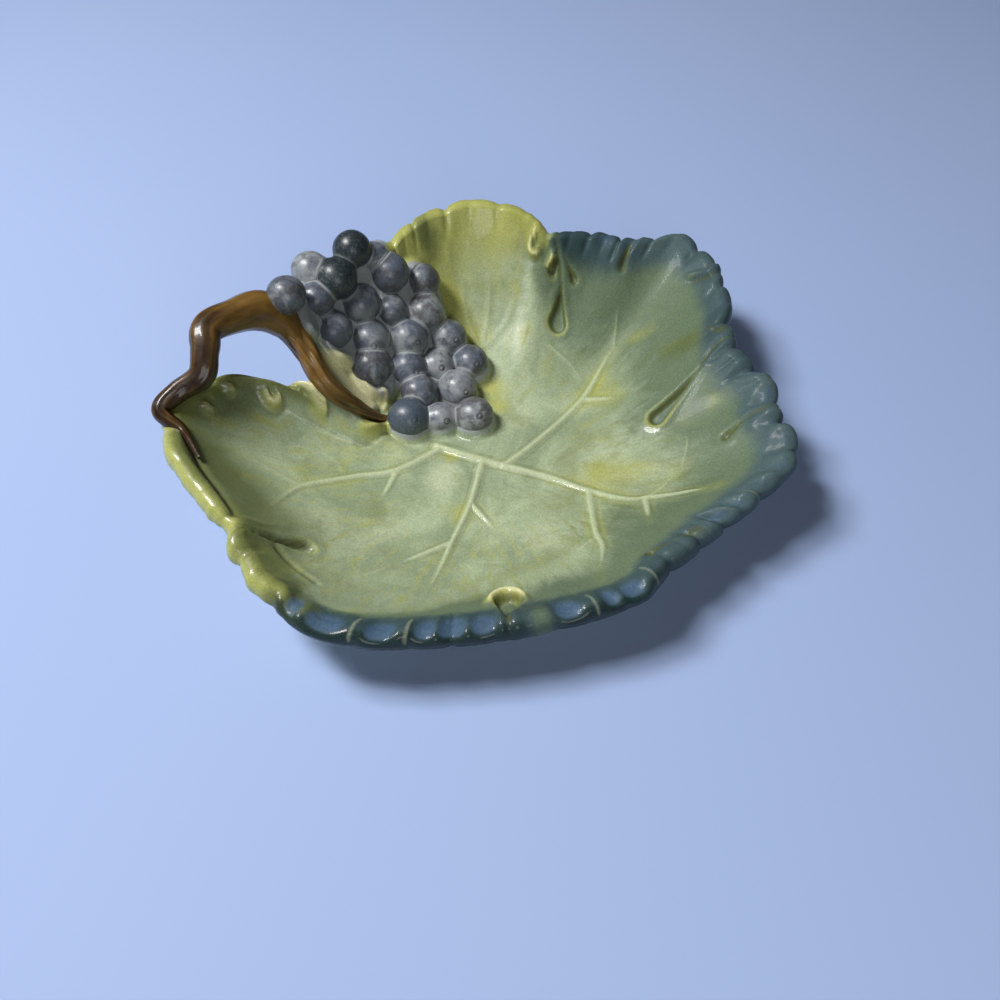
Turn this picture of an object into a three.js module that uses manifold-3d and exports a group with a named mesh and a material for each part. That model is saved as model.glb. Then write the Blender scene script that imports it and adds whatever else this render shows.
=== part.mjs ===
// Glazed leaf dish: a vine leaf with a turned-up scalloped rim, a bunch of grapes and a twig handle.
// Millimetres, +Z up. The front of the dish faces -Y and the foot stands on Z = 0.
import * as THREE from 'three';
import { mergeVertices } from 'three/addons/utils/BufferGeometryUtils.js';
import Module from 'manifold-3d';

const wasm = await Module();
wasm.setup();

// Clay and clearances
const GAP = 0.3;                // clear space between pieces that touch
const SMOOTHING = 0.1;          // flats closer together than this are made one
const WALL = 4.5;               // thickness of the leaf
const LIP = 4.5;                // radius of the rolled edge
const LIP_START = 125;          // degrees: where the inside of the wall runs into the rolled edge
const LIP_END = -105;           // degrees: where the rolled edge runs into the outside of the wall
const LIP_STEPS = 5;

// Foot ring
const FOOT_HEIGHT = 4.5;        // clear height under the flat of the leaf
const FOOT_RADIUS = 44;         // outside of the ring
const FOOT_WIDTH = 6;
const FOOT_MIDDLE = [0, -4];
const FOOT_SIDES = 48;

// Leaf: every wall line runs from the hub of the floor out to the rim
const HUB = new THREE.Vector2(0, -8);
const FLOOR = FOOT_HEIGHT + WALL;   // height of the flat inside
const FLAT_SHARE = 0.32;        // share of a wall line that stays flat
const WALL_CURVE = 2.2;         // power of the rise from the flat to the rim
const WALL_SHARES = [0.3, 0.46, 0.6, 0.72, 0.82, 0.91, 1];
const UNDER_SHARES = [0.86, 0.66, 0.46];

// Scallops of the rim
const SCALLOPS = 38;
const STEPS_PER_SCALLOP = 4;
const SCALLOP_DEPTH = 2.6;      // how far a deep notch goes in
const SCALLOP_DROP = 1.5;       // how far the edge dips at a deep notch
const SHALLOW_NOTCH = 0.55;     // every other notch is shallower, by this share
const SCALLOP_WANDER = 0.3;     // share of a scallop by which the notches stray from an even spacing
const WANDER_WAVES = 7;
const SCALLOP_INSIDE = 0.78;    // share of a wall line where the scallops begin
// Strength of the scallops by bearing from the hub in degrees: plain round the handle and bunch
const FRILL = [
  [-180, 0.12], [-150, 0.12], [-140, 0.5], [-128, 0.45], [-118, 0.3], [-50, 0.3], [-38, 0.7], [-25, 0.9],
  [35, 0.9], [60, 0.7], [100, 0.6], [112, 0.4], [122, 0], [172, 0], [180, 0.12],
];

// The rim from above, counter-clockwise from the right-hand tip: x, y and height of the edge
const RIM = [
  // right lobe
  [113, -21, 35.5], [109, -3, 36.5], [108, 10, 38], [99, 25, 38],
  // far right lobe
  [97, 37, 39], [98, 58, 40], [94, 78, 41], [85.5, 91, 42.5], [67, 89, 42.5], [49, 91, 44], [32, 88, 47],
  // top lobe, going behind the bunch
  [22, 92.5, 51.5], [10, 96, 55], [-8, 95, 55.5], [-24, 85, 54.5], [-38, 70, 52], [-62, 52, 52],
  // dip for the hand-hold
  [-69, 38, 52], [-66, 26, 47], [-59, 15, 37], [-66, 11, 34], [-79, 10.5, 37.5], [-90, 8.5, 41],
  // left lobe
  [-99, -1, 42], [-106.5, -13, 42], [-99, -34, 44], [-87, -51, 43], [-77, -62, 40],
  // near lobe
  [-71.5, -73.5, 37.5], [-55, -89, 32.5], [-38, -95, 30], [-18, -95, 28.5], [8, -92.5, 28.5], [33, -87, 29],
  [54, -79, 30], [63, -69, 29.5],
  // back to the right-hand tip
  [83, -51, 30], [103, -34, 33],
];

// Raised veins, in plan from thick end to thin end, with the radius at the thick end
const VEIN_TIP = 0.7;           // radius at the thin end
const VEIN_SINK = 0.35;         // share of the radius below the leaf surface
const VEIN_SIDES = 5;
const VEIN_STEP = 9;            // length of one step along a vein
const VEINS = [
  { radius: 1.7, points: [[-14, 4], [3, -3], [27, -11.5], [41, -18.5], [60, -25]] },
  { radius: 1.1, points: [[60, -25], [74, -12], [85, -5]] },
  { radius: 1.1, points: [[60, -25], [84, -27]] },
  { radius: 1.1, points: [[60, -25], [60, -39]] },
  { radius: 1.3, points: [[41, -18.5], [42, -40], [43.5, -49], [41, -66]] },
  { radius: 1.5, points: [[11, -6], [23, 6], [41, 28], [54, 51], [69, 55]] },
  { radius: 1.1, points: [[41, 28], [55, 26]] },
  { radius: 1.5, points: [[3, -3], [-1, -24], [-7, -42], [-11, -56], [-17, -77]] },
  { radius: 1.1, points: [[-1, -24], [8, -36]] },
  { radius: 1.1, points: [[-7, -42], [-27, -54]] },
  { radius: 1.5, points: [[-12, 3], [-28, -8], [-44, -12], [-60, -21]] },
  { radius: 1.0, points: [[-60, -21], [-66, -36], [-67, -49]] },
  { radius: 1.0, points: [[-28, -8], [-33, -23]] },
];

// Tear-shaped hollows pressed into the wall: round end and point in plan, radius of the round end
const TEAR_SIDES = 12;
const TEARS = [
  { bulb: [32, 60], point: [34, 72], radius: 3.0 },
  { bulb: [59, 78], point: [62, 84], radius: 2.0 },
  { bulb: [67, 10], point: [86, 27], radius: 2.6 },
  { bulb: [90, -5.5], point: [97, -3], radius: 1.8 },
  { bulb: [57, -60], point: [66, -53], radius: 1.8 },
  { bulb: [12, -74], point: [10, -85], radius: 3.0 },
  { bulb: [-54, -55], point: [-68, -60], radius: 2.8 },
];

// Twig handle and its fork, the leaf stalk: x, y, z and radius along the middle
const TWIG_SIDES = 10;
const TWIG_STEP = 5;
const HANDLE = [
  [-98, -18, 40, 2.2], [-105, -13, 43.8, 3.1], [-100, -6.6, 46.2, 3.9], [-92.2, -2, 49.8, 4.3],
  [-90.4, 4, 55.8, 5.3], [-90.3, 11.4, 58.9, 5.6], [-83, 18.1, 58.6, 6.1], [-74.8, 24, 56.5, 7.2],
  [-67.4, 24.7, 50.5, 6.2], [-62.9, 22.4, 45.2, 5.3],
];
const STALK = [
  [-67.4, 24.7, 50.5, 4.8], [-62.9, 22.4, 45.2, 4.9], [-59.2, 18.3, 41.7, 4.9], [-55.1, 12, 37.5, 4.9],
  [-50.9, 9.5, 32.7, 4.7], [-46, 9.1, 27.7, 4.1], [-41.1, 10.1, 22, 3.2], [-36, 13, 15.2, 1.9],
  [-32.6, 14.7, 12.8, 1.1],
];

// Grapes: x, y and radius, and how far the middle stands off the leaf as a share of the radius
const GRAPE_SIDES = 10;
const GRAPE_BANDS = 7;
const GRAPES = [
  [-44.9, 55.1, 7.1, 1.42], [-50.3, 44.8, 7.9, 1.64], [-59.8, 47.1, 7, 0.61], [-65.4, 27.9, 7.1, 1.66],
  [-57.4, 38, 7, 0.97], [-32.4, 56.9, 7.8, 0.93], [-20.6, 62.3, 7, 0.86], [-42.8, 45.6, 7.6, 0.87],
  [-31.9, 48.9, 6.2, 0.81], [-19.5, 53.1, 8.2, 0.76], [-52, 33.4, 7.3, 0.86], [-39.4, 37.7, 7.6, 0.75],
  [-25.7, 42.7, 7.7, 0.7], [-10.9, 49.4, 7.5, 0.63], [-39, 29.6, 7.9, 0.66], [-25.6, 33.8, 7, 0.62],
  [-15.1, 38.5, 6.5, 0.6], [-2.3, 41.8, 7.2, 0.55], [-21.4, 25.9, 7, 0.55], [-6.9, 29.7, 7.5, 0.52],
  [-24.8, 13.4, 8, 0.52], [-13, 15, 6.3, 0.52], [-0.4, 15.6, 7.5, 0.52], [-38.1, 59.4, 6.4, 0.55],
];

const GLAZE = {
  leaf: new THREE.MeshStandardMaterial({ color: 0x9aa57c, roughness: 0.2, metalness: 0 }),
  twig: new THREE.MeshStandardMaterial({ color: 0x6b4424, roughness: 0.2, metalness: 0 }),
  grape: new THREE.MeshStandardMaterial({ color: 0x555e70, roughness: 0.2, metalness: 0 }),
  darkGrape: new THREE.MeshStandardMaterial({ color: 0x232f38, roughness: 0.2, metalness: 0 }),
};
const DARK_GRAPES = [1, 2, 21];

const { smoothstep, degToRad, radToDeg, lerp, euclideanModulo } = THREE.MathUtils;

// The value of a table of [place, value] rows at a place between its ends
function fromTable(table, place) {
  const k = Math.max(1, table.findIndex(([at]) => at >= place));
  const [from, low] = table[k - 1];
  const [to, high] = table[k];
  return lerp(low, high, (place - from) / (to - from));
}

// A closed skin over rings with the same number of points, with a single point at each end.
// The rings run counter-clockwise when looked at from the first end.
function skin(first, rings, last) {
  const count = rings[0].length;
  const points = [first, ...rings.flat(), last];
  const lastRing = 1 + (rings.length - 1) * count;
  const index = [];
  for (let i = 0; i < count; i++) {
    const next = (i + 1) % count;
    index.push(0, 1 + i, 1 + next);
    for (let k = 1; k < lastRing; k += count) {
      index.push(k + i, k + count + i, k + next);
      index.push(k + next, k + count + i, k + count + next);
    }
    index.push(points.length - 1, lastRing + next, lastRing + i);
  }
  const geometry = new THREE.BufferGeometry().setFromPoints(points);
  geometry.setIndex(index);
  return geometry;
}

// A round bar along a smooth curve through the points, its radius changing from point to point
function bar(path, sides, step, extra = 0) {
  const curve = new THREE.CatmullRomCurve3(path.map(([x, y, z]) => new THREE.Vector3(x, y, z)));
  const steps = Math.max(3, Math.round(curve.getLength() / step));
  const frames = curve.computeFrenetFrames(steps, false);
  const rings = [];
  for (let k = 0; k <= steps; k++) {
    const t = curve.getUtoTmapping(k / steps) * (path.length - 1);
    const from = Math.min(Math.floor(t), path.length - 2);
    const radius = lerp(path[from][3], path[from + 1][3], t - from) + extra;
    const middle = curve.getPointAt(k / steps);
    const ring = [];
    for (let i = 0; i < sides; i++) {
      const angle = -2 * Math.PI * i / sides;
      const point = middle.clone().addScaledVector(frames.normals[k], radius * Math.cos(angle));
      ring.push(point.addScaledVector(frames.binormals[k], radius * Math.sin(angle)));
    }
    rings.push(ring);
  }
  const cap = 0.5;                // the ends are low domes, half a radius high
  const start = curve.getPointAt(0).addScaledVector(frames.tangents[0], -cap * (path[0][3] + extra));
  const end = curve.getPointAt(1).addScaledVector(frames.tangents[steps], cap * (path.at(-1)[3] + extra));
  return skin(start, rings, end);
}

function toSolid(geometry) {
  const bare = geometry.clone();
  bare.deleteAttribute('normal');
  bare.deleteAttribute('uv');
  const merged = mergeVertices(bare, 1e-4);
  return new wasm.Manifold(new wasm.Mesh({
    numProp: 3,
    vertProperties: new Float32Array(merged.attributes.position.array),
    triVerts: new Uint32Array(merged.index.array),
  }));
}

function toGeometry(solid) {
  const mesh = solid.simplify(SMOOTHING).getMesh();
  const geometry = new THREE.BufferGeometry();
  geometry.setAttribute('position', new THREE.BufferAttribute(new Float32Array(mesh.vertProperties), 3));
  geometry.setIndex(new THREE.BufferAttribute(new Uint32Array(mesh.triVerts), 1));
  geometry.computeVertexNormals();
  return geometry;
}

// The one body of a cut solid that scores highest; the offcuts are dropped
function bestBody(solid, score) {
  return solid.decompose().reduce((best, body) => (score(body) > score(best) ? body : best));
}
const mainBody = (solid) => bestBody(solid, (body) => body.volume());
const lowestBody = (solid) => bestBody(solid, (body) => -body.boundingBox().min[2]);

// The rim as wall lines from the hub: direction, reach, height of the edge and depth of the notch (0 to 1)
const rimCurve = new THREE.CatmullRomCurve3(RIM.map((p) => new THREE.Vector3(...p)), true, 'catmullrom', 0.5);
rimCurve.arcLengthDivisions = 2000;
const lineCount = SCALLOPS * STEPS_PER_SCALLOP;
const wallLines = [];
for (let i = 0; i < lineCount; i++) {
  const stray = SCALLOP_WANDER / SCALLOPS * Math.sin(2 * Math.PI * WANDER_WAVES * i / lineCount);
  const edge = rimCurve.getPointAt(euclideanModulo(i / lineCount + stray, 1));
  const out = new THREE.Vector2(edge.x, edge.y).sub(HUB);
  const bump = Math.abs(Math.sin(Math.PI * i / STEPS_PER_SCALLOP)) ** 0.7;
  const depth = Math.round(i / STEPS_PER_SCALLOP) % 2 === 0 ? 1 : SHALLOW_NOTCH;
  const frill = fromTable(FRILL, radToDeg(Math.atan2(out.y, out.x)));
  wallLines.push({ angle: out.angle(), out: out.clone().normalize(), reach: out.length(), rise: edge.z,
    notch: (1 - bump) * depth * frill });
}

// Radius and height where the inside of a wall line meets the rolled edge
function wallEnd(line, notch) {
  const angle = degToRad(LIP_START);
  return {
    radius: line.reach - SCALLOP_DEPTH * notch - LIP + LIP * Math.cos(angle),
    height: line.rise - SCALLOP_DROP * notch - LIP + LIP * Math.sin(angle),
  };
}

// Height of the inside at a share of the wall line, and how steeply it rises there
function wallRise(end, share) {
  const along = Math.max(0, (share - FLAT_SHARE) / (1 - FLAT_SHARE));
  return {
    height: FLOOR + (end.height - FLOOR) * along ** WALL_CURVE,
    slope: (end.height - FLOOR) * WALL_CURVE * along ** (WALL_CURVE - 1) / ((1 - FLAT_SHARE) * end.radius),
  };
}

// A point beside a wall line, at a share of its way out and a distance off its inside face
function wallPoint(line, share, offset) {
  const end = wallEnd(line, line.notch * smoothstep(share, SCALLOP_INSIDE, 1));
  const { height, slope } = wallRise(end, share);
  const tilt = Math.atan(slope);
  const radius = share * end.radius - offset * Math.sin(tilt);
  return new THREE.Vector3(HUB.x + line.out.x * radius, HUB.y + line.out.y * radius,
    height + offset * Math.cos(tilt));
}

// A point on the rolled edge
function lipPoint(line, degrees, extra) {
  const radius = line.reach - SCALLOP_DEPTH * line.notch - LIP + (LIP + extra) * Math.cos(degToRad(degrees));
  const height = line.rise - SCALLOP_DROP * line.notch - LIP + (LIP + extra) * Math.sin(degToRad(degrees));
  return new THREE.Vector3(HUB.x + line.out.x * radius, HUB.y + line.out.y * radius, height);
}

// The leaf as one skin: inside from the hub to the rim, over the rolled edge and back underneath.
// Extra swells it on all sides, for cutting the pieces that sit on it.
function leafSkin(extra) {
  const rings = WALL_SHARES.map((share) => wallLines.map((line) => wallPoint(line, share, extra)));
  for (let k = 1; k <= LIP_STEPS; k++) {
    const degrees = lerp(LIP_START, LIP_END, k / LIP_STEPS);
    rings.push(wallLines.map((line) => lipPoint(line, degrees, extra)));
  }
  UNDER_SHARES.forEach((share) => {
    rings.push(wallLines.map((line) => wallPoint(line, share, -WALL - extra)));
  });
  const top = new THREE.Vector3(HUB.x, HUB.y, FLOOR + extra);
  const under = new THREE.Vector3(HUB.x, HUB.y, FLOOR - WALL - extra);
  return skin(top, rings, under);
}

// Height of the inside of the leaf at a place in plan; past the wall it is the height of the edge
function leafHeight(x, y) {
  const out = new THREE.Vector2(x, y).sub(HUB);
  const turn = (from, to) => euclideanModulo(to - from, 2 * Math.PI);
  const k = wallLines.findIndex((line, i) => {
    const next = wallLines[(i + 1) % lineCount];
    return turn(line.angle, out.angle()) < turn(line.angle, next.angle);
  });
  const a = wallLines[k];
  const b = wallLines[(k + 1) % lineCount];
  const mix = turn(a.angle, out.angle()) / turn(a.angle, b.angle);
  const line = { reach: lerp(a.reach, b.reach, mix), rise: lerp(a.rise, b.rise, mix) };
  const end = wallEnd(line, 0);
  return Math.min(wallRise(end, out.length() / end.radius).height, line.rise);
}

// A vein: a thin bar laid along the inside of the leaf, partly sunk into it
function vein({ points, radius }) {
  const plan = new THREE.CatmullRomCurve3(points.map(([x, y]) => new THREE.Vector3(x, y, 0)));
  const steps = Math.max(2, Math.round(plan.getLength() / VEIN_STEP));
  const path = plan.getSpacedPoints(steps).map(({ x, y }, k) => {
    const size = lerp(radius, VEIN_TIP, k / steps);
    return [x, y, leafHeight(x, y) - VEIN_SINK * size, size];
  });
  return bar(path, VEIN_SIDES, VEIN_STEP / 2);
}

// A tear: a turned drop laid from its round end to its point along the inside of the leaf
function tear({ bulb, point, radius }) {
  const from = new THREE.Vector3(...bulb, leafHeight(...bulb));
  const to = new THREE.Vector3(...point, leafHeight(...point));
  const length = from.distanceTo(to);
  const outline = [];
  for (let k = 0; k <= 4; k++) {
    const angle = lerp(-Math.PI / 2, 0, k / 4);
    outline.push(new THREE.Vector2(k === 0 ? 0 : radius * Math.cos(angle), radius * Math.sin(angle)));
  }
  outline.push(new THREE.Vector2(radius * 0.55, length * 0.5), new THREE.Vector2(0, length));
  const drop = new THREE.LatheGeometry(outline, TEAR_SIDES);
  const turn = new THREE.Quaternion().setFromUnitVectors(
    new THREE.Vector3(0, 1, 0), to.clone().sub(from).normalize());
  return drop.applyQuaternion(turn).translate(from.x, from.y, from.z);
}

// Leaf
const leafCutter = toSolid(leafSkin(GAP));
let leaf = toSolid(leafSkin(0));
VEINS.forEach((each) => { leaf = leaf.add(toSolid(vein(each))); });
TEARS.forEach((each) => { leaf = leaf.subtract(toSolid(tear(each))); });

// Foot ring, cut to the underside of the leaf
const footTop = FLOOR + 2 * WALL;
const footInside = FOOT_RADIUS - FOOT_WIDTH;
const footRound = FOOT_WIDTH / 4;      // softened edges where it stands
const footOutline = [
  [footInside + footRound, 0], [FOOT_RADIUS - footRound, 0], [FOOT_RADIUS, footRound],
  [FOOT_RADIUS, footTop], [footInside, footTop], [footInside, footRound], [footInside + footRound, 0],
].map(([r, z]) => new THREE.Vector2(r, z));
const footRing = new THREE.LatheGeometry(footOutline, FOOT_SIDES).rotateX(Math.PI / 2);
footRing.translate(FOOT_MIDDLE[0], FOOT_MIDDLE[1], 0);
const foot = lowestBody(toSolid(footRing).subtract(leafCutter));

// Handle and stalk, cut where they lie on the leaf
const handle = mainBody(toSolid(bar(HANDLE, TWIG_SIDES, TWIG_STEP)).subtract(leafCutter));
const handleCutter = toSolid(bar(HANDLE, TWIG_SIDES, TWIG_STEP, GAP));
const stalkBar = toSolid(bar(STALK, TWIG_SIDES, TWIG_STEP));
const stalk = mainBody(stalkBar.subtract(leafCutter).subtract(handleCutter));
const stalkCutter = toSolid(bar(STALK, TWIG_SIDES, TWIG_STEP, GAP));

// Grapes, pressed flat where two of them meet and cut where they lie on the leaf and the twigs
const grapes = GRAPES.map(([x, y, radius, lift]) => (
  { middle: new THREE.Vector3(x, y, leafHeight(x, y) + lift * radius), radius }));
const grapeSolids = grapes.map(({ middle, radius }, i) => {
  const ball = new THREE.SphereGeometry(radius, GRAPE_SIDES, GRAPE_BANDS);
  let solid = toSolid(ball.translate(middle.x, middle.y, middle.z));
  grapes.forEach((other, k) => {
    const apart = middle.distanceTo(other.middle);
    if (k === i || apart > radius + other.radius + GAP) {
      return;
    }
    const inward = middle.clone().sub(other.middle).normalize();
    const toFlat = (apart ** 2 + radius ** 2 - other.radius ** 2) / (2 * apart) - GAP / 2;
    solid = solid.trimByPlane(inward.toArray(), middle.dot(inward) - toFlat);
  });
  return mainBody(solid.subtract(leafCutter).subtract(handleCutter).subtract(stalkCutter));
});

const dish = new THREE.Group();
function addPiece(name, solid, material) {
  const mesh = new THREE.Mesh(toGeometry(solid), material);
  mesh.name = name;
  dish.add(mesh);
}
addPiece('leaf_dish', leaf, GLAZE.leaf);
addPiece('foot_ring', foot, GLAZE.leaf);
addPiece('twig_handle', handle, GLAZE.twig);
addPiece('leaf_stalk', stalk, GLAZE.twig);
grapeSolids.forEach((solid, i) => {
  const number = String(i + 1).padStart(2, '0');
  addPiece(`grape_${number}`, solid, DARK_GRAPES.includes(i + 1) ? GLAZE.darkGrape : GLAZE.grape);
});

// Set the dish down with the middle of its outline over the origin
const box = new THREE.Box3().setFromObject(dish);
const middle = box.getCenter(new THREE.Vector3());
dish.children.forEach((mesh) => mesh.geometry.translate(-middle.x, -middle.y, -box.min.z));

export default dish;
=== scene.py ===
"""Glazed vine-leaf bowl with a bunch of grapes and a twig handle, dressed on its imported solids."""

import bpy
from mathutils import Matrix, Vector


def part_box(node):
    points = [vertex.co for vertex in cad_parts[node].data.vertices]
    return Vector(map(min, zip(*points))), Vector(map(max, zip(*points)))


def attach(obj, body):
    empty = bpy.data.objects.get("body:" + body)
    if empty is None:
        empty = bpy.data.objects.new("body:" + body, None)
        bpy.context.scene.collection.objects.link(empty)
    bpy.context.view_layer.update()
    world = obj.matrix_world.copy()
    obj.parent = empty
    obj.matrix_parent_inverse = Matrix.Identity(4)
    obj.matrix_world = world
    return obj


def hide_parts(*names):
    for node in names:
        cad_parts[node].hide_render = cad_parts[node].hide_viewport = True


bl_info = {
    "name": "Leaf Bowl",
    "version": (1, 0, 0),
    "blender": (4, 5, 0),
    "location": "3D View > Sidebar > Leaf Bowl",
    "description": "Builds the glazed leaf, foot, twigs, grapes and stage of a vine-leaf bowl",
    "category": "Add Mesh",
}

import math

import bpy
import numpy as np

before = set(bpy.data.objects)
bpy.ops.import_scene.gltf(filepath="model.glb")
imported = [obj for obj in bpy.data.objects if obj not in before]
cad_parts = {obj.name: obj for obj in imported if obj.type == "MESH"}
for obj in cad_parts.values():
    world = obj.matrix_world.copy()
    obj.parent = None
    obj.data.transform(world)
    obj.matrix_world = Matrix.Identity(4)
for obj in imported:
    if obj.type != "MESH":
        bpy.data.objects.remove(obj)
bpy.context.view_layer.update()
BODY = "root"
MM = 0.001

# Shape of the leaf, in millimetres, as in the solids
WALL = 4.5
LIP = 4.5
LIP_START = 125.0
LIP_END = -105.0
FOOT_HEIGHT = 4.5
FOOT_RADIUS = 44.0
FOOT_WIDTH = 6.0
FOOT_MIDDLE = np.array([0.0, -4.0])
HUB = np.array([0.0, -8.0])
FLOOR = FOOT_HEIGHT + WALL
FLAT_SHARE = 0.32
WALL_CURVE = 2.2
SCALLOPS = 38
SCALLOP_DEPTH = 2.6
SCALLOP_DROP = 1.5
SHALLOW_NOTCH = 0.55
SCALLOP_WANDER = 0.3
WANDER_WAVES = 7
SCALLOP_INSIDE = 0.78
# Strength of the scallops by bearing from the hub in degrees: plain round the handle and bunch
FRILL = [
    (-180, 0.12), (-150, 0.12), (-140, 0.5), (-128, 0.45), (-118, 0.3), (-50, 0.3), (-38, 0.7),
    (-25, 0.9), (35, 0.9), (60, 0.7), (100, 0.6), (112, 0.4), (122, 0), (172, 0), (180, 0.12),
]

# The rim from above, counter-clockwise from the right-hand tip: x, y and height of the edge
RIM = [
    # right lobe
    (113, -21, 35.5), (109, -3, 36.5), (108, 10, 38), (99, 25, 38),
    # far right lobe
    (97, 37, 39), (98, 58, 40), (94, 78, 41), (85.5, 91, 42.5), (67, 89, 42.5), (49, 91, 44), (32, 88, 47),
    # top lobe, going behind the bunch
    (22, 92.5, 51.5), (10, 96, 55), (-8, 95, 55.5), (-24, 85, 54.5), (-38, 70, 52), (-62, 52, 52),
    # dip for the hand-hold
    (-69, 38, 52), (-66, 26, 47), (-59, 15, 37), (-66, 11, 34), (-79, 10.5, 37.5), (-90, 8.5, 41),
    # left lobe
    (-99, -1, 42), (-106.5, -13, 42), (-99, -34, 44), (-87, -51, 43), (-77, -62, 40),
    # near lobe
    (-71.5, -73.5, 37.5), (-55, -89, 32.5), (-38, -95, 30), (-18, -95, 28.5), (8, -92.5, 28.5),
    (33, -87, 29), (54, -79, 30), (63, -69, 29.5),
    # back to the right-hand tip
    (83, -51, 30), (103, -34, 33),
]

# Raised veins in plan, from thick end to thin end, with the radius at the thick end
VEIN_TIP = 0.7
VEINS = [
    (1.7, [(-14, 4), (3, -3), (27, -11.5), (41, -18.5), (60, -25), (74, -12), (85, -5)]),
    (1.1, [(60, -25), (84, -27)]),
    (1.1, [(60, -25), (60, -39)]),
    (1.3, [(41, -18.5), (42, -40), (43.5, -49), (41, -66)]),
    (1.5, [(11, -6), (23, 6), (41, 28), (54, 51), (69, 55)]),
    (1.1, [(41, 28), (55, 26)]),
    (1.5, [(3, -3), (-1, -24), (-7, -42), (-11, -56), (-17, -77)]),
    (1.1, [(-1, -24), (8, -36)]),
    (1.1, [(-7, -42), (-27, -54)]),
    (1.5, [(-12, 3), (-28, -8), (-44, -12), (-60, -21), (-66, -36), (-67, -49)]),
    (1.0, [(-28, -8), (-33, -23)]),
]
# Fainter veins, too low for the solids
FINE_VEINS = [
    (0.9, [(29, 52), (35.5, 46), (41, 38.5), (42, 33)]),
    (0.8, [(54, 51), (56, 64), (57.5, 70)]),
    (0.8, [(74, -12), (76.5, -4), (76.5, 4)]),
    (0.8, [(41, -44), (32, -52)]),
    (0.8, [(2, 50), (-4, 62), (-6, 76)]),
    (0.8, [(2, 50), (5, 66), (4, 82)]),
    (0.8, [(2, 50), (12, 60), (18, 74)]),
    (0.8, [(-60, -21), (-77, -15), (-86, -14)]),
    (0.8, [(-27, -54), (-39, -64)]),
    (0.8, [(-47, -10), (-52.5, -2.5)]),
]

# Tear-shaped hollows: round end and point in plan, radius of the round end
TEARS = [
    ((32, 60), (34, 72), 3.4),
    ((57.5, 77), (62.5, 87), 1.6),
    ((67.5, 10.5), (83.5, 23.5), 3.0),
    ((88.7, -6.8), (97, -2.6), 1.4),
    ((57, -59.5), (66, -55), 1.2),
    ((12, -76), (11, -88), 4.6),
    ((-54, -54.5), (-70, -60), 2.5),
    ((29.8, 73.5), (32.5, 78.5), 1.6),
    ((38.5, 73.5), (35.5, 77.5), 1.6),
]
# Creases pressed into the leaf
CREASES = [
    [(33.8, 71.4), (32, 78.5), (30.5, 86)],
    [(62.3, 86), (63.5, 91)],
    [(83, 23), (87, 28), (95, 31)],
    [(95, -3.3), (105, -2)],
    [(66, -55), (74, -50)],
    [(-70, -60), (-76, -61.5)],
    [(-64, -58.5), (-56.5, -66), (-46.5, -72)],
    [(82, 68.4), (88, 66.6), (96, 61)],
    [(87, 42), (90.5, 34), (97, 31)],
    [(97, 14), (105, 11)],
]
# Small raised curls: height, width, share of cream and the line they follow
CURLS = [
    (1.2, 1.1, 0.55, [(-87.2, 4.6), (-85.5, 2.7), (-84.6, 5)]),
    (1.7, 1.2, 0.55, [(-75.4, 8.4), (-74.3, 6.4), (-72.6, 5.6), (-70.8, 6.4), (-70, 8.6)]),
    (1.5, 1.2, 0.55, [(-60.3, 9.4), (-58.1, 7.8), (-55.5, 6.9), (-52.6, 7)]),
    (1.3, 1.2, 0.55, [(-94.2, -4.9), (-92, -5.4), (-89.8, -5.4)]),
    (1.9, 1.5, 0.25, [(-44.2, 5.8), (-40.7, 5), (-37, 6.4), (-34.4, 9.6), (-32.4, 13.5)]),
    (1.3, 1.4, 0.8, [(-38.5, 25), (-35.3, 23.6), (-34, 20.9), (-35.4, 17.4)]),
    (1.2, 1.0, 0.5, [(81.5, 71), (87.5, 69.2), (95, 64)]),
    (1.3, 0.9, 0.6, [(24.8, 83.5), (22, 81.8), (20.8, 79.6), (22.6, 77.6), (26, 77.8)]),
    (1.2, 0.9, 0.6, [(31.4, 78.3), (29.4, 75.7), (27.9, 73)]),
    (1.2, 1.2, 0.8, [(6, -79), (7, -73), (11, -69.8), (15.5, -71.5), (17.8, -77)]),
]
# Crease between the left wall and its edge, filled with brown glaze
LEDGE_CREASE = [
    (-103, -14), (-97.5, -18), (-92.5, -26), (-87.5, -35), (-80.5, -44), (-74.5, -53), (-70.5, -60),
]
# Cream ledges on both sides of the stalk: half width and the line they follow
LEDGES = [
    (5.2, [(-53.5, 29), (-49.7, 23.6), (-44.6, 20.4), (-40, 18.2), (-36.3, 16.6)]),
    (1.8, [(-61, 11), (-57.5, 9.4), (-53.5, 9)]),
]
# Folds and bulges of the rim: place, depth of the notch, below zero for a bulge, and width
FOLDS = [
    ((-72.5, 10.3), 1.3, 2.2), ((109.5, -8), 1.2, 2.2), ((-60.5, -83), 0.8, 2.2), ((-78.5, -60.5), 0.5, 2.2),
    ((-76, -67.5), -0.6, 4), ((-67, -77), -0.35, 3), ((-100, -31), -0.35, 5), ((-103.5, -20), 0.3, 1.8),
]

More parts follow.
